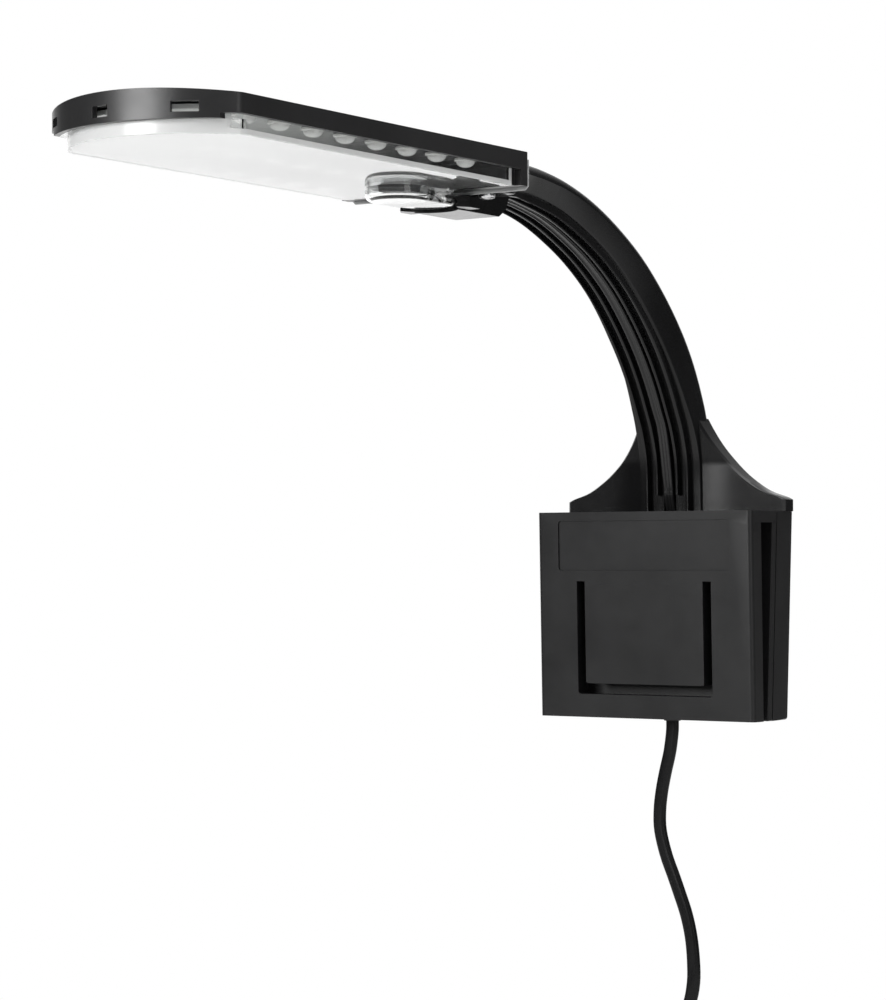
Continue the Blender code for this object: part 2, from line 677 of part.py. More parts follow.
def arm_body():
    root = box((-ROOT_PLATE_HALF_WIDTH, ROOT_PLATE_HALF_WIDTH),
               (ROOT_PLATE_FRONT, ROOT_PLATE_BACK), (ROOT_PLATE_BOTTOM, FOOT_BOTTOM + 3))
    root = lean(root, HOUSING_FRONT, HOUSING_BACK)
    pad = slab("YZ", PAD_PROFILE, -PAD_HALF_WIDTH, PAD_HALF_WIDTH)
    collar = box((-COLLAR_HALF_WIDTH, COLLAR_HALF_WIDTH), (COLLAR_FRONT, COLLAR_BACK),
                 (COLLAR_BOTTOM, COLLAR_TOP))
    body = join(arm_loft(), foot_plate(), root, join(pad, collar))
    notch = slab("XY", capsule_outline(BOSS_RADIUS + GAP, BOSS_FRONT_CENTRE, BOSS_REAR_CENTRE),
                 COLLAR_BOTTOM - 2, BOSS_TOP + GAP)
    socket = box((-SOCKET_HALF_WIDTH, SOCKET_HALF_WIDTH), (SOCKET_MOUTH - 1, SOCKET_BACK),
                 (SOCKET_BOTTOM, SOCKET_TOP))
    lead_slot = slab("YZ", ((-101.5, 94.4), (-96.5, 93.2), (-87.0, 91.0), (-87.0, 94.6),
                            (-96.5, 97.0), (-101.5, 97.6)),
                     -LEAD_SLOT_HALF_WIDTH, LEAD_SLOT_HALF_WIDTH)
    lead_exit = slab("YZ", ((4.0, 13.0), (8.4, 13.0), (10.2, 6.5), (10.2, 3.0), (4.0, 3.0)),
                     -LEAD_SLOT_HALF_WIDTH, LEAD_SLOT_HALF_WIDTH)
    holes = [rod("Z", (x, HEAD_SCREW_Y), SCREW_SHAFT + GAP, 88.0, SOCKET_BOTTOM + 1, 12)
             for x in HEAD_SCREW_X]
    for inner, outer in ((INNER_RIB[1] - 0.2, INNER_RIB[0] + 0.2),
                         (-INNER_RIB[0] - 0.2, -INNER_RIB[1] + 0.2)):
        holes.append(box((inner, outer), (4.0, 7.5), (FOOT_BOTTOM - 1, INNER_RIB_FOOT)))
    holes += [rod("Y", (x, z), SCREW_SHAFT + GAP, 8.0, 15.0, 12) for x, z in ARM_SCREWS]
    body = cut(body, notch, socket, lead_slot, lead_exit, *holes)
    add_part("arm_body", body, "black_plastic", smooth=True)


def arm_lead():
    """Flat two-core lead that lies in the channel under the arm, all the way to the lamp."""
    middle = []
    for back, under in list(zip(ARM_BACK, ARM_UNDER))[2:-2]:
        back = Vector(back)
        under = Vector(under)
        middle.append(under + (back - under).normalized() * LEAD_DEPTH)
    path = smooth_path([*LEAD_BOTTOM[::-1], *middle, *LEAD_TOP[::-1]], 2)
    one_side = []
    other_side = []
    for index, point in enumerate(path):
        ahead = path[min(index + 1, len(path) - 1)]
        behind = path[max(index - 1, 0)]
        along = (ahead - behind).normalized()
        across = Vector((-along.y, along.x)) * LEAD_THICKNESS / 2
        one_side.append(tuple(point + across))
        other_side.append(tuple(point - across))
    outline = one_side + other_side[::-1]
    add_part("arm_lead", slab("YZ", outline, -LEAD_HALF_WIDTH, LEAD_HALF_WIDTH), "cord_pvc")


# ---------------------------------------------------------------- lamp head

def head_shell():
    """Black housing of the lamp with its rear block and the tail that enters the arm."""
    outer = nose_outline(HEAD_HALF_WIDTH, HEAD_REAR, HEAD_CREASE, NOSE_RADIUS,
                         REAR_CORNER_RADIUS)
    shell = combine(slab("XY", outer, HEAD_BOTTOM, HEAD_TOP + HEAD_CROWN + 1.0),
                    [crowned_block()], "INTERSECT")
    shell = round_edges(shell, lambda v: v.z > HEAD_TOP - 0.01, HEAD_EDGE_RADIUS, 2)
    inner_half = HEAD_HALF_WIDTH - WALL
    inner_radius = NOSE_RADIUS - WALL
    centre_y = HEAD_CREASE + math.sqrt(NOSE_RADIUS ** 2 - HEAD_HALF_WIDTH ** 2)
    inner_crease = centre_y - math.sqrt(inner_radius ** 2 - inner_half ** 2)
    cavity = slab("XY", nose_outline(inner_half, CAVITY_REAR, inner_crease, inner_radius),
                  HEAD_BOTTOM - 2, CAVITY_TOP)
    side_left = box((-HEAD_HALF_WIDTH - 2, -inner_half + 0.5), (HEAD_CREASE, SIDE_WALL_REAR),
                    (HEAD_BOTTOM - 2, SIDE_WALL_BOTTOM))
    side_right = box((inner_half - 0.5, HEAD_HALF_WIDTH + 2), (HEAD_CREASE, SIDE_WALL_REAR),
                     (HEAD_BOTTOM - 2, SIDE_WALL_BOTTOM))
    nose_low = box((-NOSE_STEP - 1, NOSE_STEP + 1), (-280.0, HEAD_CREASE),
                   (HEAD_BOTTOM - 2, NOSE_WALL_BOTTOM))
    corners = [box((min(a, b), max(a, b)), (-280.0, HEAD_CREASE + 1),
                   (HEAD_BOTTOM - 2, SIDE_WALL_BOTTOM))
               for a, b in ((NOSE_STEP, HEAD_HALF_WIDTH + 2), (-NOSE_STEP, -HEAD_HALF_WIDTH - 2))]
    vents = [vent_cutter(centre_y, *vent) for vent in VENTS]
    shell = cut(shell, cavity, side_left, side_right, nose_low, *corners, *vents)
    tail = box((-TAIL_HALF_WIDTH, TAIL_HALF_WIDTH), (HEAD_REAR - 1.5, TAIL_END),
               (TAIL_BOTTOM, TAIL_TOP))
    passage = box((-PASSAGE_HALF_WIDTH, PASSAGE_HALF_WIDTH), (CAVITY_REAR - 1, TAIL_END + 1),
                  (PASSAGE_BOTTOM, PASSAGE_TOP))
    holes = [rod("Z", (x, HEAD_SCREW_Y), SCREW_SHAFT + GAP, TAIL_BOTTOM - 1, 96.3, 12)
             for x in HEAD_SCREW_X]
    shell = cut(join(shell, tail), passage, *holes)
    add_part("head_shell", shell, "black_plastic")


def crowned_block():
    """Block with a gently arched roof, longer and no wider than the lamp."""
    roof = []
    for step in range(CROWN_STRIPS + 1):
        share = 1 - 2 * step / CROWN_STRIPS
        roof.append((share * (HEAD_HALF_WIDTH + 1), HEAD_TOP + HEAD_CROWN * (1 - share ** 2)))
    outline = [(-HEAD_HALF_WIDTH - 1, HEAD_BOTTOM), (HEAD_HALF_WIDTH + 1, HEAD_BOTTOM), *roof]
    return slab("XZ", outline, -280.0, -100.0)


def vent_cutter(centre_y, angle, width, low, high):
    """Short slot through the nose wall at an angle from straight ahead."""
    half_angle = math.radians(width / 2)
    inner, outer = NOSE_RADIUS - WALL - 1.5, NOSE_RADIUS + 1.5
    points = []
    for radius, side in ((inner, -1), (outer, -1), (outer, 1), (inner, 1)):
        a = math.radians(angle) + side * half_angle
        points.append((radius * math.sin(a), centre_y - radius * math.cos(a)))
    return slab("XY", points, low, high)


def rear_seal():
    """Thin pale seal round the joint between the lamp's rear face and the arm."""
    half = HEAD_HALF_WIDTH
    window = SOCKET_HALF_WIDTH + 0.4
    outline = [(-half, SEAL_BOTTOM), (half, SEAL_BOTTOM), (half, SEAL_TOP), (window, SEAL_TOP),
               (window, TAIL_BOTTOM - 0.6), (-window, TAIL_BOTTOM - 0.6), (-window, SEAL_TOP),
               (-half, SEAL_TOP)]
    add_part("rear_seal", slab("XZ", outline, SEAL_FRONT, SEAL_BACK), "silicone")


def clear_cover():
    """Clear tray under the LEDs, its flange and the capsule-shaped boss."""
    radius = cover_radius()
    tray = slab("XY", nose_outline(COVER_HALF_WIDTH, COVER_REAR - GAP, COVER_CREASE, radius),
                COVER_BOTTOM, COVER_TOP)
    tray = round_edges(tray, lambda v: v.z < COVER_BOTTOM + 0.01, 0.5, 1)
    flange = slab("XY", flange_outline(), FLANGE_BOTTOM, FLANGE_TOP)
    boss = slab("XY", capsule_outline(BOSS_RADIUS, BOSS_FRONT_CENTRE, BOSS_REAR_CENTRE),
                BOSS_BOTTOM, BOSS_TOP)
    boss = round_edges(boss, lambda v: v.z < BOSS_BOTTOM + 0.01, BOSS_EDGE_RADIUS, 3)
    neck_radius = BOSS_RADIUS - 0.4
    neck_rear = COVER_REAR - 2 * GAP
    neck_front = arc((0.0, BOSS_FRONT_CENTRE), neck_radius, 180, 360, 10)
    neck = slab("XY", [*neck_front, (neck_radius, neck_rear), (-neck_radius, neck_rear)],
                BOSS_TOP - 0.6, COVER_BOTTOM + 0.4)
    solid = join(tray, flange, boss, neck)
    inner = nose_outline(COVER_HALF_WIDTH - COVER_WALL, COVER_REAR - GAP - COVER_WALL,
                         COVER_CREASE, radius - COVER_WALL)
    hollow = slab("XY", inner, COVER_BOTTOM + COVER_WALL, COVER_TOP + 1)
    cup = rod("Z", (0.0, BOSS_FRONT_CENTRE), CUP_RADIUS, CUP_BOTTOM, COVER_TOP, 24)
    add_part("clear_cover", cut(solid, hollow, cup), "clear_plastic")


def flange_outline():
    """Rim of the cover that lies inside the nose of the housing."""
    centre_y = HEAD_CREASE + math.sqrt(NOSE_RADIUS ** 2 - HEAD_HALF_WIDTH ** 2)
    radius = NOSE_RADIUS - WALL - GAP
    half_angle = math.degrees(math.asin(FLANGE_HALF_WIDTH / radius))
    nose = arc((0.0, centre_y), radius, 270 - half_angle, 270 + half_angle, 16)
    return [*nose, (FLANGE_HALF_WIDTH, FLANGE_REAR), (-FLANGE_HALF_WIDTH, FLANGE_REAR)]


def cover_radius():
    sagitta = COVER_CREASE - COVER_APEX
    return (COVER_HALF_WIDTH ** 2 + sagitta ** 2) / (2 * sagitta)


def light_board():
    outline = nose_outline(BOARD_HALF_WIDTH, BOARD_REAR, BOARD_CREASE, BOARD_NOSE_RADIUS)
    add_part("led_board", slab("XY", outline, BOARD_BOTTOM, BOARD_TOP), "board_white")
    lens = turned(LED_PROFILE, 14)
    number = 0
    for row_x, first_y in LED_ROWS:
        for step in range(LEDS_PER_ROW):
            number += 1
            led = add_part(f"led_{number:02d}", lens, "led_lens", smooth=True)
            led.location = Vector((row_x, first_y - step * LED_PITCH, BOARD_BOTTOM - GAP)) * MM


def driver_parts():
    """Mains driver parts that hang from the board into the boss."""
    can = rod("X", (BOSS_FRONT_CENTRE, 90.2), 2.5, -5.4, 5.4, 20)
    legs = box((-3.0, 3.0), (BOSS_FRONT_CENTRE - 0.5, BOSS_FRONT_CENTRE + 0.5), (92.0, 95.6))
    add_part("smoothing_capacitor", join(can, legs), "component_black", smooth=True)
    add_part("bridge_rectifier", box((-12.4, -8.4), (-137.5, -131.5), (93.2, 95.6)),
             "component_black")
    add_part("driver_chip", box((8.6, 12.6), (-137.0, -132.0), (94.0, 95.6)),
             "component_black")


def head_screws():
    for side, x in zip(("left", "right"), HEAD_SCREW_X):
        mesh = screw_mesh("Z", (x, HEAD_SCREW_Y), HEAD_SCREW_SEAT, -1, HEAD_SCREW_LENGTH, 2.5,
                          1.5)
        add_part(f"head_screw_{side}", mesh, "steel", smooth=True)


# ---------------------------------------------------------------- wiring inside the housing

def housing_wiring():
    for side, x in zip(("live", "neutral"), SPLICE_X):
        add_part(f"splice_{side}", rod("Z", (x, SPLICE_Y), SPLICE_RADIUS, SPLICE_BOTTOM,
                                       SPLICE_TOP, 12), "component_black", smooth=True)
    add_part("cord_inner", rod("Z", (CORD_X, CORD_Y), CORD_RADIUS, INNER_CORD_BOTTOM,
                               INNER_CORD_TOP, 12), "cord_pvc", smooth=True)
    bar = box((-9.0, 9.0), (CORD_Y - 3.4, CORD_Y + 2.4), (CLAMP_BOTTOM, CLAMP_TOP))
    groove = rod("Z", (CORD_X, CORD_Y), CORD_RADIUS + GAP, CLAMP_BOTTOM - 1, CLAMP_TOP + 1, 16)
    add_part("cord_clamp", cut(bar, groove), "black_plastic_matt")
    neck = CORD_PORT_RADIUS - GAP
    profile = ((0.0, GROMMET_TOP), (GROMMET_FLANGE, GROMMET_TOP),
               (GROMMET_FLANGE, POCKET_BOTTOM + GAP),
               (neck, POCKET_BOTTOM + GAP), (neck, CLIP_BOTTOM), (neck - 0.5, GROMMET_BOTTOM),
               (0.0, GROMMET_BOTTOM))
    grommet = turned(profile, 20)
    grommet.transform(Matrix.Translation(Vector((CORD_X, CORD_Y, 0.0)) * MM))
    add_part("cord_grommet", grommet, "cord_pvc", smooth=True)


# ---------------------------------------------------------------- cord, coil and plug

def hanging_cord():
    route = smooth_path([(x, CORD_Y, z) for x, z in CORD_ROUTE], CORD_STEPS_PER_SPAN)
    add_part("cord", tube(route, CORD_RADIUS, 2), "cord_pvc", smooth=True)


def cord_coil():
    """Outer shape of the neat round coil that the spare cord is wound into."""
    profile = ((COIL_OUTER_RADIUS - COIL_EDGE, COIL_HALF_DEPTH),
               (COIL_OUTER_RADIUS, COIL_HALF_DEPTH - COIL_EDGE),
               (COIL_OUTER_RADIUS, COIL_EDGE - COIL_HALF_DEPTH),
               (COIL_OUTER_RADIUS - COIL_EDGE, -COIL_HALF_DEPTH),
               (COIL_INNER_RADIUS + COIL_EDGE, -COIL_HALF_DEPTH),
               (COIL_INNER_RADIUS, COIL_EDGE - COIL_HALF_DEPTH),
               (COIL_INNER_RADIUS, COIL_HALF_DEPTH - COIL_EDGE),
               (COIL_INNER_RADIUS + COIL_EDGE, COIL_HALF_DEPTH))
    ring = turned([*profile, profile[0]], 32)
    stand_up = Matrix.Rotation(math.radians(90), 4, "X")
    ring.transform(stand_up)
    centre = Vector((COIL_CENTRE[0], CORD_Y, COIL_CENTRE[1])) * MM
    ring.transform(Matrix.Translation(centre))
    add_part("cord_coil", ring, "cord_pvc", smooth=True)


def coil_tie():
    """Strap round the coil's bundle on the side away from the plug."""
    inner = COIL_CENTRE[0] + COIL_INNER_RADIUS - 0.5
    outer = COIL_CENTRE[0] + COIL_OUTER_RADIUS + GAP
    half_depth = COIL_HALF_DEPTH + GAP
    wall = TIE_THICKNESS
    z_low = COIL_CENTRE[1] - TIE_HALF_WIDTH
    z_high = COIL_CENTRE[1] + TIE_HALF_WIDTH
    strap = box((inner - wall, outer + wall),
                (CORD_Y - half_depth - wall, CORD_Y + half_depth + wall), (z_low, z_high))
    hole = box((inner, outer), (CORD_Y - half_depth, CORD_Y + half_depth),
               (z_low - 1, z_high + 1))
    add_part("coil_tie", cut(strap, hole), "component_black")


def cord_tail():
    tail = rod("Z", (TAIL_CORD_X, CORD_Y), CORD_RADIUS, TAIL_CORD_BOTTOM, TAIL_CORD_TOP, 12)
    add_part("cord_tail", tail, "cord_pvc", smooth=True)


def plug():
    """Flat two-blade moulded plug that hangs from the side of the coil."""
    x = TAIL_CORD_X
    relief = rod("Z", (x, CORD_Y), 3.6, PLUG_TOP + GAP, TAIL_CORD_BOTTOM - GAP, 16, 2.2)
    add_part("plug_relief", relief, "cord_pvc", smooth=True)
    body_plan = [(x + u, CORD_Y + v) for u, v in rounded_plan(11.5, -6.5, 6.5, 2.5, True, True)]
    body = slab("XY", body_plan, PLUG_BOTTOM, PLUG_TOP)
    body = round_edges(body, lambda v: v.z > PLUG_TOP - 0.01, 1.5, 2)
    add_part("plug_body", body, "cord_pvc", smooth=True)
    for side, sign in (("left", -1), ("right", 1)):
        blade_x = x + sign * BLADE_SPACING / 2
        blade = box((blade_x - 0.75, blade_x + 0.75), (CORD_Y - 3.2, CORD_Y + 3.2),
                    (PLUG_BOTTOM - GAP - BLADE_LENGTH, PLUG_BOTTOM - GAP))
        add_part(f"plug_blade_{side}", blade, "brass")


def main():
    clip_body()
    front_jaw()
    spring_tongue()
    rear_housing()
    housing_screws()
    arm_body()
    arm_lead()
    head_shell()
    rear_seal()
    clear_cover()
    light_board()
    driver_parts()
    head_screws()
    housing_wiring()
    hanging_cord()
    cord_coil()
    coil_tie()
    cord_tail()
    plug()


clear_scene()
PARTS = new_collection("led_aquarium_light")
CUTTERS = new_collection("cutters")
MADE = make_materials()
main()
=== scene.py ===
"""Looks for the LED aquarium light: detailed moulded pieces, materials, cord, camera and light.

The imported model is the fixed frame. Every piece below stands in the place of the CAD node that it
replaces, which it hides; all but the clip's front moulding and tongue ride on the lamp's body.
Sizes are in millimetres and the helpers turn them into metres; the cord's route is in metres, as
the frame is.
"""
import math

import bmesh
import bpy
from mathutils import Matrix, Vector


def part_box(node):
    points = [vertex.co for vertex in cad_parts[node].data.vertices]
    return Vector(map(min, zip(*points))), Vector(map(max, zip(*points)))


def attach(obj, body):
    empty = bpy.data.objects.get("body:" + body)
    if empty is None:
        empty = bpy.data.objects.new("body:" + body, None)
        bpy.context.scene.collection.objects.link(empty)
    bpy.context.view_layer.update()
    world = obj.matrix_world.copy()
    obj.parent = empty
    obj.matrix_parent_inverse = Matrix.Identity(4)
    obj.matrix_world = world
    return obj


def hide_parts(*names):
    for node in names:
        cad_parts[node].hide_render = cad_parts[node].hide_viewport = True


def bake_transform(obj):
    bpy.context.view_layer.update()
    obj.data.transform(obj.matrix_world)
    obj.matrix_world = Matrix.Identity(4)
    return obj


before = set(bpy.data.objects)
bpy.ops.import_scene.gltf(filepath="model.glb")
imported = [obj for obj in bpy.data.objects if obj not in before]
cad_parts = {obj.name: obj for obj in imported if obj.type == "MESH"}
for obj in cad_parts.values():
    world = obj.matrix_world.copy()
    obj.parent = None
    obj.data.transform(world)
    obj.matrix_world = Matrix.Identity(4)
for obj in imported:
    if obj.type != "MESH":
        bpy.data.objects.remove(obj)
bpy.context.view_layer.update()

MM = 0.001
WELD = 2e-7                    # metres

# ---------------------------------------------------------------- camera

CAMERA_PLACE = (0.467889, -0.791848, -0.013516)
CAMERA_TILT = 1.324            # degrees above the horizon
CAMERA_TURN = 34.716           # degrees from +Y towards -X
CAMERA_LENS = 106.96
SENSOR = 36.0


def make_camera():
    data = bpy.data.cameras.new("photo_camera")
    data.lens = CAMERA_LENS
    data.sensor_width = SENSOR
    data.clip_start = 0.01
    data.clip_end = 50.0
    camera = new_object("photo_camera", data)
    camera.location = CAMERA_PLACE
    camera.rotation_euler = (math.radians(90 + CAMERA_TILT), 0.0, math.radians(CAMERA_TURN))
    bpy.context.scene.camera = camera


# ---------------------------------------------------------------- mesh helpers

def node_box(node):
    """Lowest and highest corner of a CAD node, in millimetres."""
    low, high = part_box(node)
    return low / MM, high / MM


def new_object(name, data):
    """Object for a mesh, a camera or a light, linked to the scene."""
    data.name = name
    obj = bpy.data.objects.new(name, data)
    bpy.context.scene.collection.objects.link(obj)
    return obj


def evaluated(obj):
    """The object's mesh with its modifiers applied."""
    graph = bpy.context.evaluated_depsgraph_get()
    graph.update()
    return bpy.data.meshes.new_from_object(obj.evaluated_get(graph), depsgraph=graph)


def opened(mesh):
    work = bmesh.new()
    work.from_mesh(mesh)
    return work


def to_mesh(work, mesh=None):
    """Write an edited mesh into the given one, or into a new one."""
    mesh = mesh or bpy.data.meshes.new("piece")
    work.to_mesh(mesh)
    work.free()
    return mesh


def face_out(work):
    bmesh.ops.recalc_face_normals(work, faces=work.faces)
    return work


def combine(mesh, others, operation):
    for other in others:
        target = new_object("target", mesh)
        tool = new_object("tool", other)
        step = target.modifiers.new("step", "BOOLEAN")
        step.operation = operation
        step.solver = "EXACT"
        step.object = tool
        work = opened(evaluated(target))
        bmesh.ops.remove_doubles(work, verts=work.verts, dist=WELD)
        mesh = to_mesh(face_out(work))
        bpy.data.objects.remove(target, do_unlink=True)
        bpy.data.objects.remove(tool, do_unlink=True)
    return mesh


def cut(mesh, *tools):
    return combine(mesh, tools, "DIFFERENCE")


def join(mesh, *others):
    return combine(mesh, others, "UNION")


def span(half):
    """Range from minus to plus a half-width."""
    return -half, half


def box(x_range, y_range, z_range):
    low = Vector((x_range[0], y_range[0], z_range[0])) * MM
    high = Vector((x_range[1], y_range[1], z_range[1])) * MM
    work = bmesh.new()
    bmesh.ops.create_cube(work, size=1.0)
    bmesh.ops.scale(work, vec=high - low, verts=work.verts)
    bmesh.ops.translate(work, vec=(low + high) / 2, verts=work.verts)
    return to_mesh(work)


TURNS = {"X": Matrix.Rotation(math.radians(90), 4, "Y"),
         "Y": Matrix.Rotation(math.radians(-90), 4, "X"),
         "Z": Matrix.Identity(4)}


def moved(mesh, x, y, z):
    mesh.transform(Matrix.Translation(Vector((x, y, z)) * MM))
    return mesh


def turned(profile, steps=48, axis="Z"):
    """Solid of revolution from (radius, height) points; the first and last lie on the axis."""
    work = bmesh.new()
    rings = []
    for radius, height in profile:
        if radius == 0.0:
            rings.append([work.verts.new((0.0, 0.0, height * MM))])
            continue
        ring = []
        for step in range(steps):
            angle = 2 * math.pi * step / steps
            ring.append(work.verts.new((radius * math.cos(angle) * MM,
                                        radius * math.sin(angle) * MM, height * MM)))
        rings.append(ring)
    for upper, lower in zip(rings, rings[1:]):
        for step in range(steps):
            after = (step + 1) % steps
            corners = [upper[step % len(upper)], upper[after % len(upper)],
                       lower[after % len(lower)], lower[step % len(lower)]]
            work.faces.new(list(dict.fromkeys(corners)))
    mesh = to_mesh(face_out(work))
    mesh.transform(TURNS[axis])
    return mesh


def rod(axis, centre, radius, low, high, steps=48):
    """Cylinder along X, Y or Z; centre holds the other two coordinates in order."""
    mesh = turned(((0.0, low), (radius, low), (radius, high), (0.0, high)), steps, axis)
    place = list(centre)
    place.insert("XYZ".index(axis), 0.0)
    return moved(mesh, *place)


PLANES = {
    "XY": Matrix(((1, 0, 0), (0, 1, 0), (0, 0, 1))),
    "YZ": Matrix(((0, 0, 1), (1, 0, 0), (0, 1, 0))),
    "XZ": Matrix(((1, 0, 0), (0, 0, 1), (0, 1, 0))),
}


def slab(plane, points, low, high):
    """Flat outline drawn in a plane and drawn out across it from low to high."""
    work = bmesh.new()
    ends = []
    for height in (low, high):
        ends.append([work.verts.new(PLANES[plane] @ Vector((u, v, height)) * MM)
                     for u, v in points])
    work.faces.new(ends[0])
    work.faces.new(ends[1])
    count = len(points)
    for i in range(count):
        j = (i + 1) % count
        work.faces.new((ends[0][i], ends[0][j], ends[1][j], ends[1][i]))
    return to_mesh(face_out(work))


def round_edges(mesh, wanted, width, segments=4):
    """Round the sharp edges whose two ends both pass the test (in millimetres)."""
    work = opened(mesh)
    chosen = [e for e in work.edges
              if len(e.link_faces) == 2 and e.calc_face_angle(0.0) > math.radians(25)
              and all(wanted(v.co / MM) for v in e.verts)]
    bmesh.ops.bevel(work, geom=chosen, offset=width * MM, segments=segments, profile=0.5,
                    affect="EDGES", clamp_overlap=True)
    return to_mesh(work)


def arc(centre, radius, start, end, steps):
    angles = [math.radians(start + (end - start) * i / steps) for i in range(steps + 1)]
    return [(centre[0] + radius * math.cos(a), centre[1] + radius * math.sin(a))
            for a in angles]


def mirrored(half):
    """Outline closed by the mirror image of one half of it."""
    return half + [(-u, v) for u, v in reversed(half)]


def rounded_rectangle(x_range, z_range, radius, steps=5):
    low_x, high_x = x_range
    low_z, high_z = z_range
    return [*arc((high_x - radius, high_z - radius), radius, 0, 90, steps),
            *arc((low_x + radius, high_z - radius), radius, 90, 180, steps),
            *arc((low_x + radius, low_z + radius), radius, 180, 270, steps),
            *arc((high_x - radius, low_z + radius), radius, 270, 360, steps)]


def sliced(mesh, places, across=(0, 0, 1)):
    """Add rings of edges at some places along a direction."""
    work = opened(mesh)
    across = Vector(across)
    for place in places:
        bmesh.ops.bisect_plane(work, geom=work.verts[:] + work.edges[:] + work.faces[:],
                               plane_co=across * place * MM, plane_no=across, dist=WELD)
    return to_mesh(work, mesh)


def smooth_path(points, steps):
    """Catmull-Rom curve through the points, with some steps on each span."""
    ends = [Vector(p) for p in points]
    chain = [ends[0] * 2 - ends[1], *ends, ends[-1] * 2 - ends[-2]]
    path = []
    for a, b, c, d in zip(chain, chain[1:], chain[2:], chain[3:]):
        for step in range(steps):
            t = step / steps
            path.append(0.5 * (2 * b + (c - a) * t + (2 * a - 5 * b + 4 * c - d) * t * t
                               + (3 * b - a - 3 * c + d) * t ** 3))
    path.append(ends[-1])
    return path


def loft(rings):
    """Closed skin over rings of the same number of points."""
    work = bmesh.new()
    made = [[work.verts.new(point) for point in ring] for ring in rings]
    for first, second in zip(made, made[1:]):
        count = len(first)
        for i in range(count):
            j = (i + 1) % count
            work.faces.new((first[i], first[j], second[j], second[i]))
    work.faces.new(made[0])
    work.faces.new(list(reversed(made[-1])))
    return to_mesh(face_out(work))


def round_off(obj, width, segments, angle):
    bevel = obj.modifiers.new("moulded_edges", "BEVEL")
    bevel.width = width * MM
    bevel.segments = segments
    bevel.limit_method = "ANGLE"
    bevel.angle_limit = math.radians(angle)
    return bevel


def show(name, mesh, material, replaces=(), body="lamp", edge=0.0, smooth=35, segments=3):
    """Link a piece: smooth shading, fine rounded edges, material and body. It replaces one CAD
    node or several."""
    mesh.materials.clear()
    mesh.materials.append(MATERIALS[material])
    mesh.shade_smooth()
    mesh.set_sharp_from_angle(angle=math.radians(smooth))
    obj = new_object(name, mesh)
    if edge:
        round_off(obj, edge, segments, smooth).miter_outer = "MITER_ARC"
        weighted = obj.modifiers.new("even_shading", "WEIGHTED_NORMAL")
        weighted.keep_sharp = True
    if body:
        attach(obj, body)
    if replaces:
        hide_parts(*([replaces] if isinstance(replaces, str) else replaces))
    return obj


# ---------------------------------------------------------------- materials

def new_material(name):
    material = bpy.data.materials.new(name)
    material.use_nodes = True
    tree = material.node_tree
    return material, tree, tree.nodes["Principled BSDF"]


def set_sockets(node, values):
    for socket, value in values.items():
        node.inputs[socket].default_value = value


def feed(tree, node, sources):
    """Link outputs of other nodes to some of a node's sockets."""
    for socket, output in sources.items():
        tree.links.new(output, node.inputs[socket])


def add_node(tree, kind, values=None, sources=None):
    node = tree.nodes.new("ShaderNode" + kind)
    set_sockets(node, values or {})
    feed(tree, node, sources or {})
    return node


def noise(tree, scale, detail=3.0, rough=0.5, stretch=(1.0, 1.0, 1.0)):
    """Noise in the piece's own metres; scale is in blotches per metre."""
    place = add_node(tree, "TexCoord")
    mapping = add_node(tree, "Mapping", {"Scale": stretch}, {"Vector": place.outputs["Object"]})
    texture = add_node(tree, "TexNoise", {"Scale": scale, "Detail": detail, "Roughness": rough},
                       {"Vector": mapping.outputs["Vector"]})
    return texture.outputs["Fac"]


def spread(tree, source, low, high, from_low=0.3, from_high=0.7):
    """Map a value from one range to another."""
    node = add_node(tree, "MapRange", {"From Min": from_low, "From Max": from_high,
                                       "To Min": low, "To Max": high}, {"Value": source})
    return node.outputs["Result"]


def colour_ramp(tree, source, stops):
    """Ramp through (position, colour) stops."""
    node = add_node(tree, "ValToRGB", sources={"Fac": source})
    elements = node.color_ramp.elements
    while len(elements) < len(stops):
        elements.new(0.5)
    for element, (position, colour) in zip(elements, stops):
        element.position = position
        element.color = (*colour, 1.0)
    return node.outputs["Color"]


def two_colours(tree, source, first, second, from_low=0.35, from_high=0.65):
    return colour_ramp(tree, source, ((from_low, first), (from_high, second)))


def bump(tree, shader, source, distance):
    """Relief of the given depth in metres; a second call adds to the first."""
    node = add_node(tree, "Bump", {"Distance": distance, "Strength": 1.0}, {"Height": source})
    earlier = shader.inputs["Normal"].links
    if earlier:
        tree.links.new(earlier[0].from_socket, node.inputs["Normal"])
    tree.links.new(node.outputs["Normal"], shader.inputs["Normal"])


def plastic(name, dark, light, rough_low, rough_high, grain, grain_depth, specular):
    """Black moulded plastic: faint flow marks, a fine grain and uneven gloss."""
    material, tree, shader = new_material(name)
    set_sockets(shader, {"IOR": 1.5, "Specular IOR Level": specular})
    flow = noise(tree, 22.0, 4.0, 0.6, (1.0, 2.5, 1.0))
    colours = [(grey, grey, blue) for grey, blue in (dark, light)]
    patches = noise(tree, 60.0, 5.0, 0.65)
    feed(tree, shader, {"Base Color": two_colours(tree, flow, *colours),
                        "Roughness": spread(tree, patches, rough_low, rough_high)})
    bump(tree, shader, noise(tree, grain, 2.0), grain_depth)
    bump(tree, shader, noise(tree, 90.0, 2.0), 0.000012)
    return material


def cloudy(name, sockets, cloud, colours, roughness, relief=0.0, grain=None):
    """Colour and gloss that vary with one noise; the relief follows it or a finer grain."""
    material, tree, shader = new_material(name)
    set_sockets(shader, sockets)
    cloud = noise(tree, *cloud)
    feed(tree, shader, {"Base Color": two_colours(tree, cloud, *colours),
                        "Roughness": spread(tree, cloud, *roughness)})
    if relief:
        bump(tree, shader, noise(tree, grain, 2.0) if grain else cloud, relief)
    return material


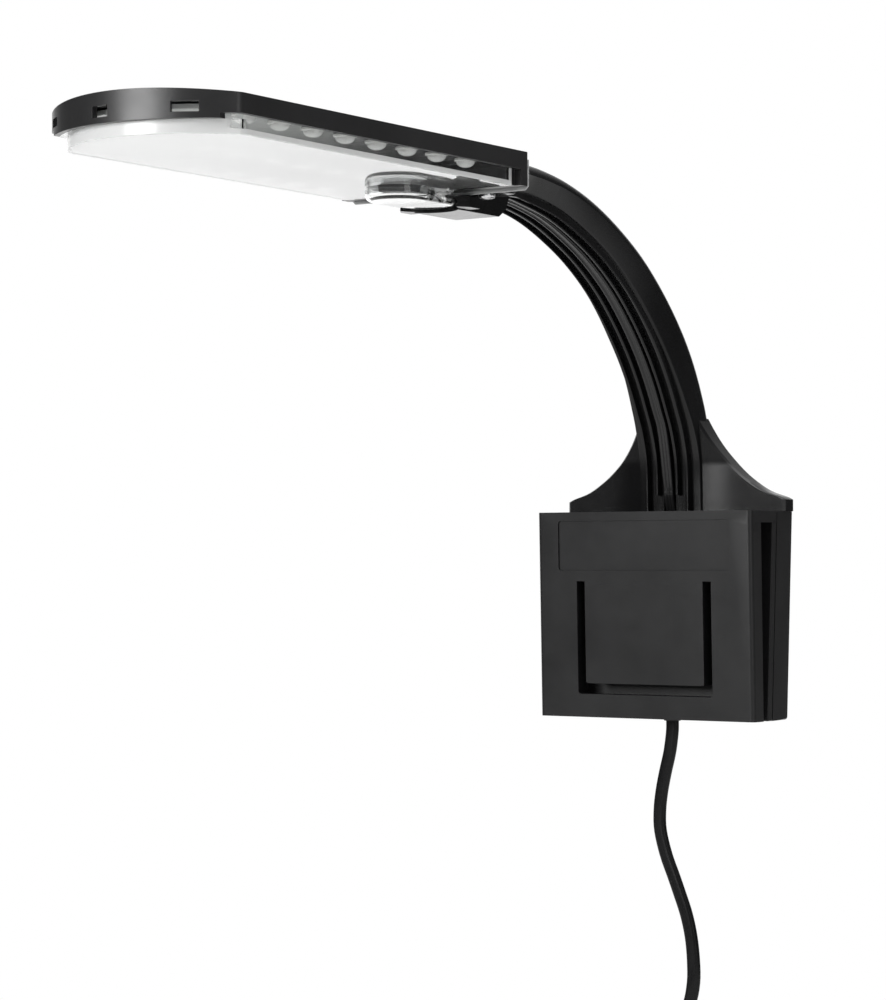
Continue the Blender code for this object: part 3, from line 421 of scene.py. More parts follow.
def clear_plastic(name):
    """Moulded polycarbonate: clear, with a faint ripple and a few cloudy patches."""
    material, tree, shader = new_material(name)
    set_sockets(shader, {"Base Color": (0.965, 0.975, 0.975, 1.0), "IOR": 1.5,
                         "Transmission Weight": 1.0})
    haze = noise(tree, 45.0, 5.0, 0.6)
    feed(tree, shader, {"Roughness": spread(tree, haze, 0.015, 0.04)})
    bump(tree, shader, noise(tree, 60.0, 1.0), 0.00001)
    return material


BOARD_SHADE_SPAN = (-0.232, -0.170)          # where the board's white mask gives way to painted shade, black towards the rear
WHITE_MASK = (0.62, 0.63, 0.62)
# painted shade: the black that the rear of the board is painted with
SHADE_BLACK = (0.012, 0.012, 0.012)


def light_board_material(name):
    """White solder mask at the nose, painted black towards the rear as painted shade, with faint
    copper runs under it.
    """
    material, tree, shader = new_material(name)
    place = add_node(tree, "TexCoord").outputs["Object"]
    runs = add_node(tree, "TexBrick",
                    {"Color1": (1.0, 1.0, 1.0, 1.0), "Color2": (0.95, 0.96, 0.95, 1.0),
                     "Mortar": (0.85, 0.86, 0.85, 1.0), "Scale": 40.0, "Mortar Size": 0.012,
                     "Brick Width": 0.9, "Row Height": 0.53}, {"Vector": place})
    parts = add_node(tree, "SeparateXYZ", sources={"Vector": place})
    # painted shade: the board darkens from white to black towards its rear
    along = spread(tree, parts.outputs["Y"], 0.0, 1.0, *BOARD_SHADE_SPAN)
    tint = add_node(tree, "MixRGB", {"Fac": 1.0},
                    {"Color1": two_colours(tree, along, WHITE_MASK, SHADE_BLACK, 0.0, 1.0),
                     "Color2": runs.outputs["Color"]})
    tint.blend_type = "MULTIPLY"
    mask = noise(tree, 500.0)
    feed(tree, shader, {"Base Color": tint.outputs["Color"],
                        "Roughness": spread(tree, mask, 0.35, 0.5)})
    bump(tree, shader, runs.outputs["Fac"], 0.00003)
    bump(tree, shader, mask, 0.00001)
    return material


# darkest and lightest (grey, blue), roughness range, grain per metre, its depth, specular level
PLASTICS = {
    "arm_plastic": ((0.0035, 0.0038), (0.0052, 0.0056), 0.20, 0.28, 5200.0, 0.000008, 0.24),
    "head_plastic": ((0.0125, 0.013), (0.0165, 0.0171), 0.28, 0.38, 5200.0, 0.000010, 0.5),
    "clip_plastic": ((0.007, 0.0074), (0.0095, 0.01), 0.30, 0.40, 3600.0, 0.000016, 0.34),
    "component": ((0.014, 0.015), (0.022, 0.023), 0.35, 0.5, 3000.0, 0.000012, 0.5),
    "tie_plastic": ((0.015, 0.016), (0.022, 0.023), 0.38, 0.5, 4000.0, 0.000012, 0.5),
    "cord_jacket": ((0.005, 0.0053), (0.0075, 0.0079), 0.24, 0.34, 2600.0, 0.000014, 0.16),
    "lead_jacket": ((0.007, 0.0074), (0.01, 0.0105), 0.18, 0.28, 2600.0, 0.000010, 0.34),
}
EVEN_SCATTER = (1.0, 1.0, 1.0)
FROST_COLOURS = ((0.93, 0.94, 0.94), (0.97, 0.975, 0.975))
STEEL_COLOURS = ((0.50, 0.50, 0.51), (0.68, 0.68, 0.69))
BRASS_COLOURS = ((0.60, 0.47, 0.24), (0.78, 0.64, 0.38))
# shader sockets, noise, two colours, roughness range, depth of relief, finer grain per metre
CLOUDY = {
    "frosted": ({"IOR": 1.5, "Transmission Weight": 0.45}, (55.0, 4.0, 0.6), FROST_COLOURS,
                (0.16, 0.24), 0.000006, 2600.0),
    "satin": ({"IOR": 1.5, "Transmission Weight": 1.0}, (55.0, 4.0, 0.6), FROST_COLOURS,
              (0.42, 0.52), 0.000006, 2600.0),
    # silicone seal; its pale grey line at the rear joint is also a painted highlight on the shell's
    # rear edge
    "silicone": ({"IOR": 1.41, "Subsurface Weight": 0.4, "Subsurface Scale": 0.002,
                  "Subsurface Radius": EVEN_SCATTER}, (300.0, 3.0, 0.6),
                 ((0.24, 0.245, 0.245), (0.32, 0.325, 0.325)), (0.28, 0.45), 0.00002, 900.0),
    "lens": ({"IOR": 1.5, "Transmission Weight": 0.08, "Subsurface Weight": 0.3,
              "Subsurface Scale": 0.003, "Subsurface Radius": EVEN_SCATTER}, (500.0, 3.0, 0.6),
             ((0.93, 0.93, 0.90), (0.98, 0.98, 0.96)), (0.08, 0.16), 0.00001),
    "screw_steel": ({"Metallic": 1.0}, (1800.0, 4.0, 0.6), STEEL_COLOURS, (0.18, 0.32), 0.000008),
    "brass": ({"Metallic": 1.0}, (1800.0, 4.0, 0.6, (1.0, 1.0, 0.15)), BRASS_COLOURS,
              (0.20, 0.34), 0.000008),
    "floor": ({}, (3.0, 4.0), ((0.80, 0.80, 0.79), (0.84, 0.84, 0.83)), (0.75, 0.9)),
}
MATERIALS = {name: plastic(name, *values) for name, values in PLASTICS.items()}
MATERIALS.update({name: cloudy(name, *values) for name, values in CLOUDY.items()})
MATERIALS["clear"] = clear_plastic("clear")
MATERIALS["board"] = light_board_material("board")


# ---------------------------------------------------------------- mains cord

HANG_ROUTE = ((0.0, -0.0585), (0.0, -0.0610), (-0.0001, -0.0644), (-0.0010, -0.0705),
              (-0.0026, -0.0768), (-0.0039, -0.0829), (-0.0046, -0.0888), (-0.0044, -0.0949),
              (-0.0024, -0.1023), (0.0003, -0.1088), (0.0024, -0.1140), (0.0048, -0.1203),
              (0.0065, -0.1272), (0.0073, -0.1344), (0.0073, -0.1414), (0.0057, -0.1482),
              (0.0020, -0.1540), (-0.0039, -0.1599))
CORD_Y = 0.0087
CORD_WIDTH = 4.2
CORD_THICKNESS = 2.7
COIL_CENTRE = (0.0066, -0.1890)
COIL_LAYERS = (-0.00225, 0.00225)      # the two layers, before and behind the cord's plane
COIL_OUTER = 0.0294                    # centre line of the outermost turn
COIL_PITCH = 0.0028
COIL_START = 125.0                     # degrees, where the hanging cord joins the coil
SPIRAL_TURNS = 3.0
INNER_TURNS = 1.0 + 55.0 / 360.0       # one turn and a bit, so that the cord ends at 180 degrees
TURN_STEPS = 48
TAIL_DROP = (0.006, 0.012, 0.0175, 0.022)
TWIST = (0.070, 0.110)                 # stretch, along the cord, where its flat side turns


def ease(value, low, high):
    share = min(1.0, max(0.0, (value - low) / (high - low)))
    return share * share * (3 - 2 * share)


def coil_points():
    """Two spirals side by side: inwards in front, outwards behind."""
    points = []
    total = 2 * SPIRAL_TURNS + INNER_TURNS
    count = round(total * TURN_STEPS)
    for step in range(count + 1):
        turn = total * step / count
        inwards = min(turn, SPIRAL_TURNS)
        outwards = max(0.0, turn - SPIRAL_TURNS - INNER_TURNS)
        radius = COIL_OUTER - COIL_PITCH * (inwards - outwards)
        side = ease(turn, SPIRAL_TURNS + 0.25, SPIRAL_TURNS + 0.9)
        depth = COIL_LAYERS[0] + (COIL_LAYERS[1] - COIL_LAYERS[0]) * side
        angle = math.radians(COIL_START + 360.0 * turn)
        points.append(Vector((COIL_CENTRE[0] + radius * math.cos(angle), CORD_Y + depth,
                              COIL_CENTRE[1] + radius * math.sin(angle))))
    return points


def cord_path():
    coil = coil_points()
    hang = [Vector((x, CORD_Y, z)) for x, z in HANG_ROUTE]
    hang[-1].y += COIL_LAYERS[0] * 0.5
    last = coil[-1]
    tail = [Vector((last.x, last.y - COIL_LAYERS[1] * ease(drop, 0.0, TAIL_DROP[-1]),
                    last.z - drop)) for drop in TAIL_DROP]
    joined = smooth_path([*hang, coil[0]], 4)
    end = smooth_path([last, *tail], 4)
    return joined[:-1] + coil + end[1:]


def cord_section(steps=28):
    """Oval jacket over two cores, with a shallow valley along the middle of each flat side."""
    radius = CORD_THICKNESS / 2
    reach = CORD_WIDTH / 2 - radius
    points = []
    for step in range(steps):
        angle = 2 * math.pi * step / steps
        x = math.cos(angle) * radius + reach * max(-1.0, min(1.0, 1.6 * math.cos(angle)))
        valley = 0.10 * math.exp(-(x / 0.55) ** 2)
        z = math.sin(angle) * (radius - valley)
        points.append((x * MM, z * MM))
    return points


def sweep(path, section, normal, flat_angle):
    """Carry a section along a path that lies in the plane across the normal. Its wide side
    starts in that plane, and flat_angle(distance) turns it towards the normal."""
    normal = Vector(normal)
    rings = []
    distance = 0.0
    for index, point in enumerate(path):
        if index:
            distance += (point - path[index - 1]).length
        ahead = path[min(index + 1, len(path) - 1)]
        behind = path[max(index - 1, 0)]
        along = (ahead - behind).normalized()
        across = along.cross(normal).normalized()
        deep = across.cross(along).normalized()
        turn = flat_angle(distance)
        wide = across * math.cos(turn) + deep * math.sin(turn)
        thin = deep * math.cos(turn) - across * math.sin(turn)
        rings.append([point + wide * u + thin * v for u, v in section])
    return loft(rings)


def make_cord():
    path = cord_path()
    mesh = sweep(path, cord_section(), (0.0, 1.0, 0.0),
                 lambda distance: math.radians(90) * ease(distance, *TWIST))
    cord = show("mains_cord", mesh, "cord_jacket", ("cord", "cord_coil", "cord_tail"),
                smooth=60)
    make_tie()
    make_plug()


TIE_WIDTH = 4.4
TIE_THICKNESS = 0.7
TIE_INSET = 0.8                # from the outside of the CAD's strap to the inside of this one
TIE_CORNER = 2.2
TIE_GROOVES = 5


def make_tie():
    """Releasable strap round the bundle, with its ratchet head on the inner side."""
    low, high = node_box("coil_tie")
    half_x = (high.x - low.x) / 2 - TIE_INSET
    half_y = (high.y - low.y) / 2 - TIE_INSET
    inner, outer = [rounded_rectangle(span(half_x + more), span(half_y + more),
                                      TIE_CORNER + more, 8) for more in (0.0, TIE_THICKNESS)]
    strap = cut(slab("XY", outer, *span(TIE_WIDTH / 2)), slab("XY", inner, *span(TIE_WIDTH)))
    head = box((-half_x - 2.1, -half_x - 0.1), span(2.6), span(TIE_WIDTH / 2 + 0.1))
    grooves = [box((-half_x + 3 + 1.1 * i, -half_x + 3.4 + 1.1 * i),
                   (-half_y - TIE_THICKNESS - 1, -half_y - TIE_THICKNESS + 0.2),
                   span(1.5)) for i in range(TIE_GROOVES)]
    strap = moved(cut(join(strap, head), *grooves), *(low + high) / 2)
    return show("coil_strap", strap, "tie_plastic", "coil_tie", edge=0.15)


# ---------------------------------------------------------------- mains plug

PLUG_CORNER = 3.0
PLUG_LEVELS = ((0.0, 0.94), (0.06, 1.0), (0.55, 1.0), (0.80, 0.93), (0.95, 0.80), (1.0, 0.66))
GRIP_GROOVES = 4
GROOVE_START = 8.0
GROOVE_PITCH = 2.4
GROOVE_HEIGHT = 1.1
GROOVE_REACH = 3.6
RELIEF_RINGS = 5
BLADE_CHAMFER = 1.2
BLADE_INTO_BODY = 0.3
BLADE_HOLE = (4.5, 1.5)        # height above the tip and radius


def plug_grip(low, high):
    """Grip body that narrows upwards, with grooves in its two narrow sides."""
    middle = (low + high) / 2
    half_x = (high.x - low.x) / 2
    half_y = (high.y - low.y) / 2
    sections = []
    for share, scale in PLUG_LEVELS:
        outline = rounded_rectangle(span(half_x * scale), span(half_y * scale),
                                    PLUG_CORNER * scale, 8)
        height = low.z + (high.z - low.z) * share
        sections.append([Vector((middle.x + u, middle.y + v, height)) * MM for u, v in outline])
    grooves = []
    for groove in range(GRIP_GROOVES):
        height = low.z + GROOVE_START + GROOVE_PITCH * groove
        for near, far in ((-half_x - 2.0, -half_x + 0.5), (half_x - 0.5, half_x + 2.0)):
            grooves.append(box((middle.x + near, middle.x + far),
                               (middle.y - GROOVE_REACH, middle.y + GROOVE_REACH),
                               (height, height + GROOVE_HEIGHT)))
    return cut(loft(sections), *grooves)


def plug_relief(middle):
    """Strain relief of tapering rings."""
    low, high = [corner.z for corner in node_box("plug_relief")]
    profile = [(0.0, high - 0.1), (2.5, high - 0.1)]
    step = (high - low - 1.0) / RELIEF_RINGS
    for ring in range(RELIEF_RINGS):
        top = high - 0.5 - ring * step
        radius = 2.35 + 1.15 * (ring + 0.5) / RELIEF_RINGS
        profile += [(radius, top), (radius + 0.12, top - step * 0.62),
                    (radius - 0.35, top - step * 0.64), (radius - 0.35, top - step * 0.97)]
    profile += [(3.6, low + 0.4), (3.6, low), (0.0, low)]
    return moved(turned(profile, 40), middle.x, middle.y, 0.0)


def plug_blade(low, high):
    """Flat blade with a chamfered tip and a hole."""
    middle = (low + high) / 2
    half = (high.y - low.y) / 2
    top = high.z + BLADE_INTO_BODY
    above_tip = low.z + BLADE_CHAMFER
    outline = [(-half, top), (-half, above_tip), (-half + BLADE_CHAMFER, low.z),
               (half - BLADE_CHAMFER, low.z), (half, above_tip), (half, top)]
    blade = slab("YZ", [(middle.y + u, v) for u, v in outline], low.x, high.x)
    height, radius = BLADE_HOLE
    return cut(blade, rod("X", (middle.y, low.z + height), radius, low.x - 1, high.x + 1, 24))


def make_plug():
    """Moulded flat-blade plug: ribbed grip body, strain relief and two brass blades."""
    low, high = node_box("plug_body")
    pieces = [show("plug_grip", plug_grip(low, high), "cord_jacket", "plug_body", edge=0.3),
              show("plug_strain_relief", plug_relief((low + high) / 2), "cord_jacket",
                   "plug_relief", edge=0.12)]
    for side in ("left", "right"):
        node = f"plug_blade_{side}"
        pieces.append(show(f"brass_blade_{side}", plug_blade(*node_box(node)), "brass", node,
                           edge=0.2))
    return pieces


# ---------------------------------------------------------------- clip

CLIP_HALF_WIDTH = 38.0
BRIDGE_TOP = 4.0
BRIDGE_FRONT = -6.2            # inside the front wall
BRIDGE_UNDERSIDE = 0.5
CLIP_BOTTOM = -59.5
CLIP_CORNER = 1.5
JAW_FRONT = (-9.73, -8.0)      # depth at the slot's ceiling and at the bottom edge
SLOT_FRONT = (-3.6, -2.2)
SLOT_BACK = (3.6, 0.45)
REAR_WALL_BACK = (6.3, 3.15)
HOUSING_FRONT = (6.6, 3.45)
HOUSING_BACK = (17.05, 13.9)
PANEL_HALF_WIDTH = 30.4
PANEL_TOP = 1.3
PANEL_BOTTOM = -14.2
PANEL_DEPTH = 0.5
PANEL_CORNER = 1.0
SLIT_OUTER = 23.85
SLIT_INNER = 20.95
SLIT_TOP = -17.4
SLIT_BOTTOM = -52.35
SLIT_CORNER = 0.9
TONGUE_BOTTOM = -49.0
FLEX_HEIGHTS = (0.4, -0.45, -1.3, -2.15, -3.0)
TONGUE_CORNER = 0.8
TONGUE_EDGE = 0.01
TONGUE_FLEX_HEIGHTS = (-17.6, -18.4, -19.2, -20.0)
SEAT_HALF_WIDTH = 30.0
SEAT_HALF_DEPTH = 2.9


def at_height(pair, z):
    """Depth of a leaning face at a height."""
    return pair[0] + (pair[1] - pair[0]) * z / CLIP_BOTTOM


def lean(mesh, front, back):
    """Lean a solid built upright, so that its front and back follow two slanted faces."""
    for vertex in mesh.vertices:
        y = vertex.co.y / MM
        z = vertex.co.z / MM
        share = (y - front[0]) / (back[0] - front[0])
        low = at_height(front, z)
        high = at_height(back, z)
        vertex.co.y = (low + (high - low) * share) * MM
    return mesh


def clip_plan(front, back, front_round=0.0, back_round=0.0):
    """Plan across the clip's whole width, with rounded corners in front or behind."""
    points = []
    for side, y, inward, radius, start in (
            (-1, front, 1, front_round, 180), (1, front, 1, front_round, 270),
            (1, back, -1, back_round, 0), (-1, back, -1, back_round, 90)):
        centre = (side * (CLIP_HALF_WIDTH - radius), y + inward * radius)
        points += arc(centre, radius, start, start + 90, 8) if radius else [centre]
    return points


def clip_front():
    """Front wall and bridge in one moulding, with rings of edges added just under the bridge."""
    front = JAW_FRONT[0]
    plate = slab("XY", clip_plan(front, SLOT_FRONT[0], front_round=CLIP_CORNER),
                 CLIP_BOTTOM, BRIDGE_TOP)
    panel = slab("XZ", rounded_rectangle(span(PANEL_HALF_WIDTH), (PANEL_BOTTOM, PANEL_TOP),
                                         PANEL_CORNER), front - 1.0, front + PANEL_DEPTH)
    corner = arc((-SLIT_OUTER + SLIT_CORNER, SLIT_BOTTOM + SLIT_CORNER), SLIT_CORNER,
                 180, 270, 4)
    window = slab("XZ", mirrored([(-SLIT_INNER, SLIT_TOP - 1.0), (-SLIT_INNER, SLIT_TOP),
                                  (-SLIT_OUTER, SLIT_TOP), *corner]),
                  front - 1.0, SLOT_FRONT[0] + 1.0)
    plate = lean(cut(plate, panel, window), JAW_FRONT, SLOT_FRONT)
    bridge = box(span(CLIP_HALF_WIDTH), (BRIDGE_FRONT, REAR_WALL_BACK[0]),
                 (BRIDGE_UNDERSIDE, BRIDGE_TOP))
    whole = show("clip_front_moulding", join(plate, bridge), "clip_plastic",
                 ("front_jaw", "clip_body"), body=None, edge=0.35)
    rounded = evaluated(whole)
    whole.modifiers.clear()
    whole.data = sliced(rounded, FLEX_HEIGHTS)
    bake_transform(whole)


def tongue():
    """Leaf that presses on the glass; its root runs into the front wall."""
    corner = arc((-SLIT_INNER + TONGUE_CORNER, TONGUE_BOTTOM + TONGUE_CORNER), TONGUE_CORNER,
                 180, 270, 4)
    leaf = slab("XZ", mirrored([(-SLIT_INNER, SLIT_TOP - 1.0), *corner]), JAW_FRONT[0],
                SLOT_FRONT[0])
    leaf = round_edges(leaf, lambda v: v.z < SLIT_TOP - 1.5 or v.z > SLIT_TOP, TONGUE_EDGE, 1)
    leaf = lean(leaf, JAW_FRONT, SLOT_FRONT)
    piece = show("clip_tongue", leaf, "clip_plastic", "spring_tongue", body=None)
    sliced(piece.data, TONGUE_FLEX_HEIGHTS)
    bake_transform(piece)


def rear_wall():
    wall = box(span(CLIP_HALF_WIDTH), (SLOT_BACK[0], REAR_WALL_BACK[0]),
               (CLIP_BOTTOM, BRIDGE_UNDERSIDE + 0.5))
    wall = lean(wall, SLOT_BACK, REAR_WALL_BACK)
    seat = box(span(SEAT_HALF_WIDTH), span(SEAT_HALF_DEPTH), (0.0, BRIDGE_UNDERSIDE + 0.4))
    show("clip_rear_wall", join(wall, seat), "clip_plastic", "clip_body", edge=0.3)


# ---------------------------------------------------------------- rear housing and screws

CLIP_SCREWS = ((-33.3, -6.0), (33.3, -6.0), (-33.3, -52.0), (33.3, -52.0))
ARM_SCREWS = ((-12.0, -8.5), (12.0, -8.5))
SCREW_SINK = 2.2
SCREW_HOLE = 3.3
SCREW_BORE = 1.6
SCREW_SHAFT = 1.3
BACK_SCREW_HEAD = (2.9, 1.7)   # radius and height
LAMP_SCREW_HEAD_HEIGHT = 1.5
BOTTOM_ROUND = 2.2
POCKET = ((-29.0, 29.0), (HOUSING_FRONT[0] - 1, 14.3), (-56.0, 0.6))
ROOT_SLOT = ((-20.3, 20.3), (10.3, 13.9), (0.0, BRIDGE_TOP + 1))
LEAD_PORT = ((-3.0, 3.0), (7.2, 10.6), (0.0, BRIDGE_TOP + 1))
CORD_HOLE = (0.0, 11.75)
CORD_PORT = (3.4, CLIP_BOTTOM - 1, -55.0)      # radius, bottom and top
GROMMET_SEAT = (4.4, -56.0, -52.0)


def rear_housing():
    """Shell behind the rear wall, with the screws sunk into its back."""
    back = HOUSING_BACK[0]
    shell = slab("XY", clip_plan(HOUSING_FRONT[0], back, back_round=CLIP_CORNER),
                 CLIP_BOTTOM, BRIDGE_TOP)
    shell = round_edges(shell, lambda v: v.z < CLIP_BOTTOM + 0.01 and v.y > back - 4.0,
                        BOTTOM_ROUND, 5)
    hollows = [box(*POCKET), box(*ROOT_SLOT), box(*LEAD_PORT), rod("Z", CORD_HOLE, *CORD_PORT),
               rod("Z", CORD_HOLE, *GROMMET_SEAT)]
    shell = lean(cut(shell, *hollows), HOUSING_FRONT, HOUSING_BACK)
    holes = []
    for x, z in CLIP_SCREWS + ARM_SCREWS:
        surface = at_height(HOUSING_BACK, z)
        holes.append(rod("Y", (x, z), SCREW_BORE, 0.0, surface + 1, 24))
        holes.append(rod("Y", (x, z), SCREW_HOLE, surface - SCREW_SINK, surface + 1, 40))
    show("housing_shell", cut(shell, *holes), "clip_plastic", "rear_housing", edge=0.35)


def screw_mesh(head_radius, head_height, length):
    """Pan-head cross-recess screw, head up, seat at height 0."""
    profile = [(0.0, head_height)]
    for step in range(1, 9):
        angle = math.radians(90 - 11.25 * step)
        profile.append((head_radius * math.cos(angle),
                        head_height * (0.35 + 0.65 * math.sin(angle))))
    root = SCREW_SHAFT * 0.8
    profile += [(head_radius, 0.0), (root, 0.0)]
    for thread in range(int(length / 0.5)):
        top = -0.4 - thread * 0.5
        profile += [(root, top), (SCREW_SHAFT, top - 0.15), (SCREW_SHAFT, top - 0.2),
                    (root, top - 0.35)]
    profile += [(SCREW_SHAFT * 0.3, -length), (0.0, -length)]
    wing = span(head_radius * 0.52)
    recess = (head_height * 0.45, head_height + 1)
    return cut(turned(profile, 40), box(wing, span(0.28), recess), box(span(0.28), wing, recess))


def screws():
    """Screws whose heads show on the housing's back and under the lamp."""
    for node in ("clip_screw_1", "clip_screw_2", "clip_screw_3", "clip_screw_4", "arm_screw_1",
                 "arm_screw_2", "head_screw_left", "head_screw_right"):
        low, high = node_box(node)
        middle = (low + high) / 2
        if node.startswith("head"):
            radius, height = (high.x - low.x) / 2, LAMP_SCREW_HEAD_HEIGHT
            length, turn = high.z - low.z - height, 180
            middle.z = low.z + height
        else:
            radius, height = BACK_SCREW_HEAD
            length, turn = high.y - low.y - height, -90
            middle.y = high.y - height
        mesh = screw_mesh(radius, height, length)
        mesh.transform(Matrix.Rotation(math.radians(turn), 4, "X"))
        show(f"{node}_steel", moved(mesh, *middle), "screw_steel", node, edge=0.08)


# ---------------------------------------------------------------- arm

FOOT_BOTTOM = 4.02             # rests on the housing
FOOT_FRONT = 9.6
FOOT_BACK = 16.0
FOOT_PROFILE = ((38.9, 7.6), (37.0, 8.5), (31.2, 10.5), (25.2, 14.3), (20.8, 18.1),
                (17.3, 21.9), (14.5, 25.6), (12.2, 29.4), (10.3, 33.0))
FOOT_FILLET = (1.5, 4.5)       # how far forward, and over what width, the tail runs into the arm
FOOT_HIDDEN = 10.0             # half-width of the middle strip, inside the arm
FOOT_END_ROUND = 0.8
ARM_BACK = ((16.0, 4.3), (16.0, 19.5), (14.7, 31.5), (11.3, 41.5), (5.6, 52.2), (-2.0, 62.2),
            (-12.0, 72.2), (-24.0, 81.3), (-38.0, 89.1), (-52.0, 95.0), (-66.0, 98.8),
            (-79.0, 100.7), (-91.0, 101.3), (-103.0, 101.3), (-118.0, 100.9))
ARM_UNDER = ((5.4, 4.3), (4.7, 19.0), (2.1, 28.4), (-1.3, 35.2), (-6.0, 43.4), (-12.4, 52.2),
             (-21.0, 61.5), (-31.0, 70.1), (-43.2, 77.8), (-56.0, 83.6), (-68.0, 87.7),
             (-80.0, 90.1), (-91.0, 91.5), (-103.0, 90.5), (-118.0, 90.4))
ARM_BACK_HALF_WIDTHS = (11.2, 11.0, 10.7, 10.4, 10.2, 10.0, 9.8, 9.8, 9.8, 9.8, 10.0, 10.4,
                        11.4, 15.0, 15.0)
ARM_UNDER_HALF_WIDTHS = (11.2, 11.0, 10.7, 10.2, 9.6, 9.0, 8.5, 8.2, 8.2, 8.2, 8.2, 8.2,
                         8.6, 14.6, 15.0)
RIB_HEIGHTS = (*[2.2] * 12, 1.6, 0.02, 0.02)
ARM_STEPS = 5
BACK_ROUND = 3.4
OUTER_RIB = (7.8, 6.6)
INNER_RIB = (4.1, 3.0)
RIB_TIP = 0.35
INNER_RIB_FOOT = 9.3           # height at which the inner pair ends above the clip


def rib_outline(outer, inner, floor, depth):
    """Section of one rib with rounded tips, from its outer side to its inner side."""
    tip = min(RIB_TIP, max(depth - floor, 0.02) * 0.45)
    return [(outer, floor), (outer, depth - tip), (outer - tip * 0.3, depth - tip * 0.3),
            (outer - tip, depth), (inner + tip, depth), (inner + tip * 0.3, depth - tip * 0.3),
            (inner, depth - tip), (inner, floor)]


def arm_section(back, under, back_half, under_half, rib):
    """One ring of the arm: rounded back edges, flat sides and the ribs of the underside."""
    back = Vector((0.0, back.x, back.y))
    under = Vector((0.0, under.x, under.y))
    depth = (under - back).length
    inward = (under - back) / depth
    floor = depth - rib
    radius = BACK_ROUND
    half = []
    for step in range(7):
        angle = math.radians(15 * step)
        half.append((back_half - radius + radius * math.sin(angle),
                     radius - radius * math.cos(angle)))
    half += [(under_half, floor - 0.8), (under_half - 0.25, floor - 0.25),
             (under_half - 0.8, floor)]
    outer = min(OUTER_RIB[0], under_half - 0.9)
    half += rib_outline(outer, OUTER_RIB[1], floor, depth)
    half += rib_outline(*INNER_RIB, floor, depth)
    return [(Vector((x, 0, 0)) + back + inward * n) * MM for x, n in mirrored(half)]


def arm_loft():
    backs = smooth_path(ARM_BACK, ARM_STEPS)
    unders = smooth_path(ARM_UNDER, ARM_STEPS)
    sizes = smooth_path(list(zip(ARM_BACK_HALF_WIDTHS, ARM_UNDER_HALF_WIDTHS, RIB_HEIGHTS)),
                        ARM_STEPS)
    return loft([arm_section(back, under, back_half, under_half, max(rib, 0.02))
                 for back, under, (back_half, under_half, rib) in zip(backs, unders, sizes)])


PAD_HALF_WIDTH = 7.3
PAD_PROFILE = ((-121.5, 85.2), (-99.5, 85.2), (-96.0, 87.4), (-93.5, 93.0), (-117.0, 93.0),
               (-118.0, 88.4), (-121.5, 88.4))
COLLAR_PLAN = ((-9.6, -123.5), (9.6, -123.5), (11.6, -120.5), (11.6, -115.5), (-11.6, -115.5),
               (-11.6, -120.5))
COLLAR_HEIGHTS = (85.5, 88.4)
BOSS_RADIUS = 9.4
BOSS_FRONT_CENTRE = -137.4
BOSS_REAR_CENTRE = -126.2
BOSS_TOP = 88.8
SOCKET = ((-13.3, 13.3), (-119.0, -100.5), (91.7, 98.6))
ARM_ROOT = ((-20.0, 20.0), (10.6, 13.6), (-16.0, FOOT_BOTTOM + 3))
LEAD_CHANNEL = 2.7             # half the width of the lead's passage
LEAD_SLOT = ((-101.5, 94.4), (-96.5, 93.2), (-87.0, 91.0), (-87.0, 94.6), (-96.5, 97.0),
             (-101.5, 97.6))
LEAD_EXIT = ((4.0, 13.0), (7.7, 13.0), (8.5, 7.0), (9.8, 3.0), (4.0, 3.0))
LEAD_EXIT_HALF_WIDTH = 2.15
HEAD_SCREWS = ((-10.4, -110.4), (10.4, -110.4))


def capsule_outline(radius, front_centre, rear_centre, steps=24):
    return [*arc((0.0, front_centre), radius, 180, 360, steps),
            *arc((0.0, rear_centre), radius, 0, 180, steps)]


def back_lean(height):
    """How far the arm's back has curved forward at a height near its foot."""
    (y_low, z_low), (y_high, z_high) = ARM_BACK[1:3]
    share = max(0.0, (height - z_low) / (z_high - z_low))
    return share * (y_low - y_high) + 0.3 * share


def fish_tail(columns=10):
    """Plate that spreads the arm over the clip; its front runs into the arm in a hollow."""
    levels = [(FOOT_PROFILE[0][0], FOOT_BOTTOM)]
    levels += [tuple(p) for p in smooth_path(FOOT_PROFILE, 4)]
    ends = FOOT_END_ROUND
    rings = []
    for half_width, height in levels:
        shift = back_lean(height)
        back = FOOT_BACK - shift
        hidden = min(FOOT_HIDDEN, half_width - 1.0)
        right = [(hidden, FOOT_FRONT + 1.5 - shift)]
        for column in range(columns + 1):
            x = hidden + 0.1 + (half_width - ends - hidden - 0.1) * column / columns
            beyond = max(0.0, x - FOOT_HIDDEN)
            hollow = FOOT_FILLET[0] * math.exp(-(beyond / FOOT_FILLET[1]) ** 1.3)
            right.append((x, FOOT_FRONT - shift - hollow))
        right += [(half_width, right[-1][1] + ends), (half_width, back - ends),
                  (half_width - ends, back)]
        rings.append([Vector((x, y, height)) * MM for x, y in mirrored(right)])
    return loft(rings)


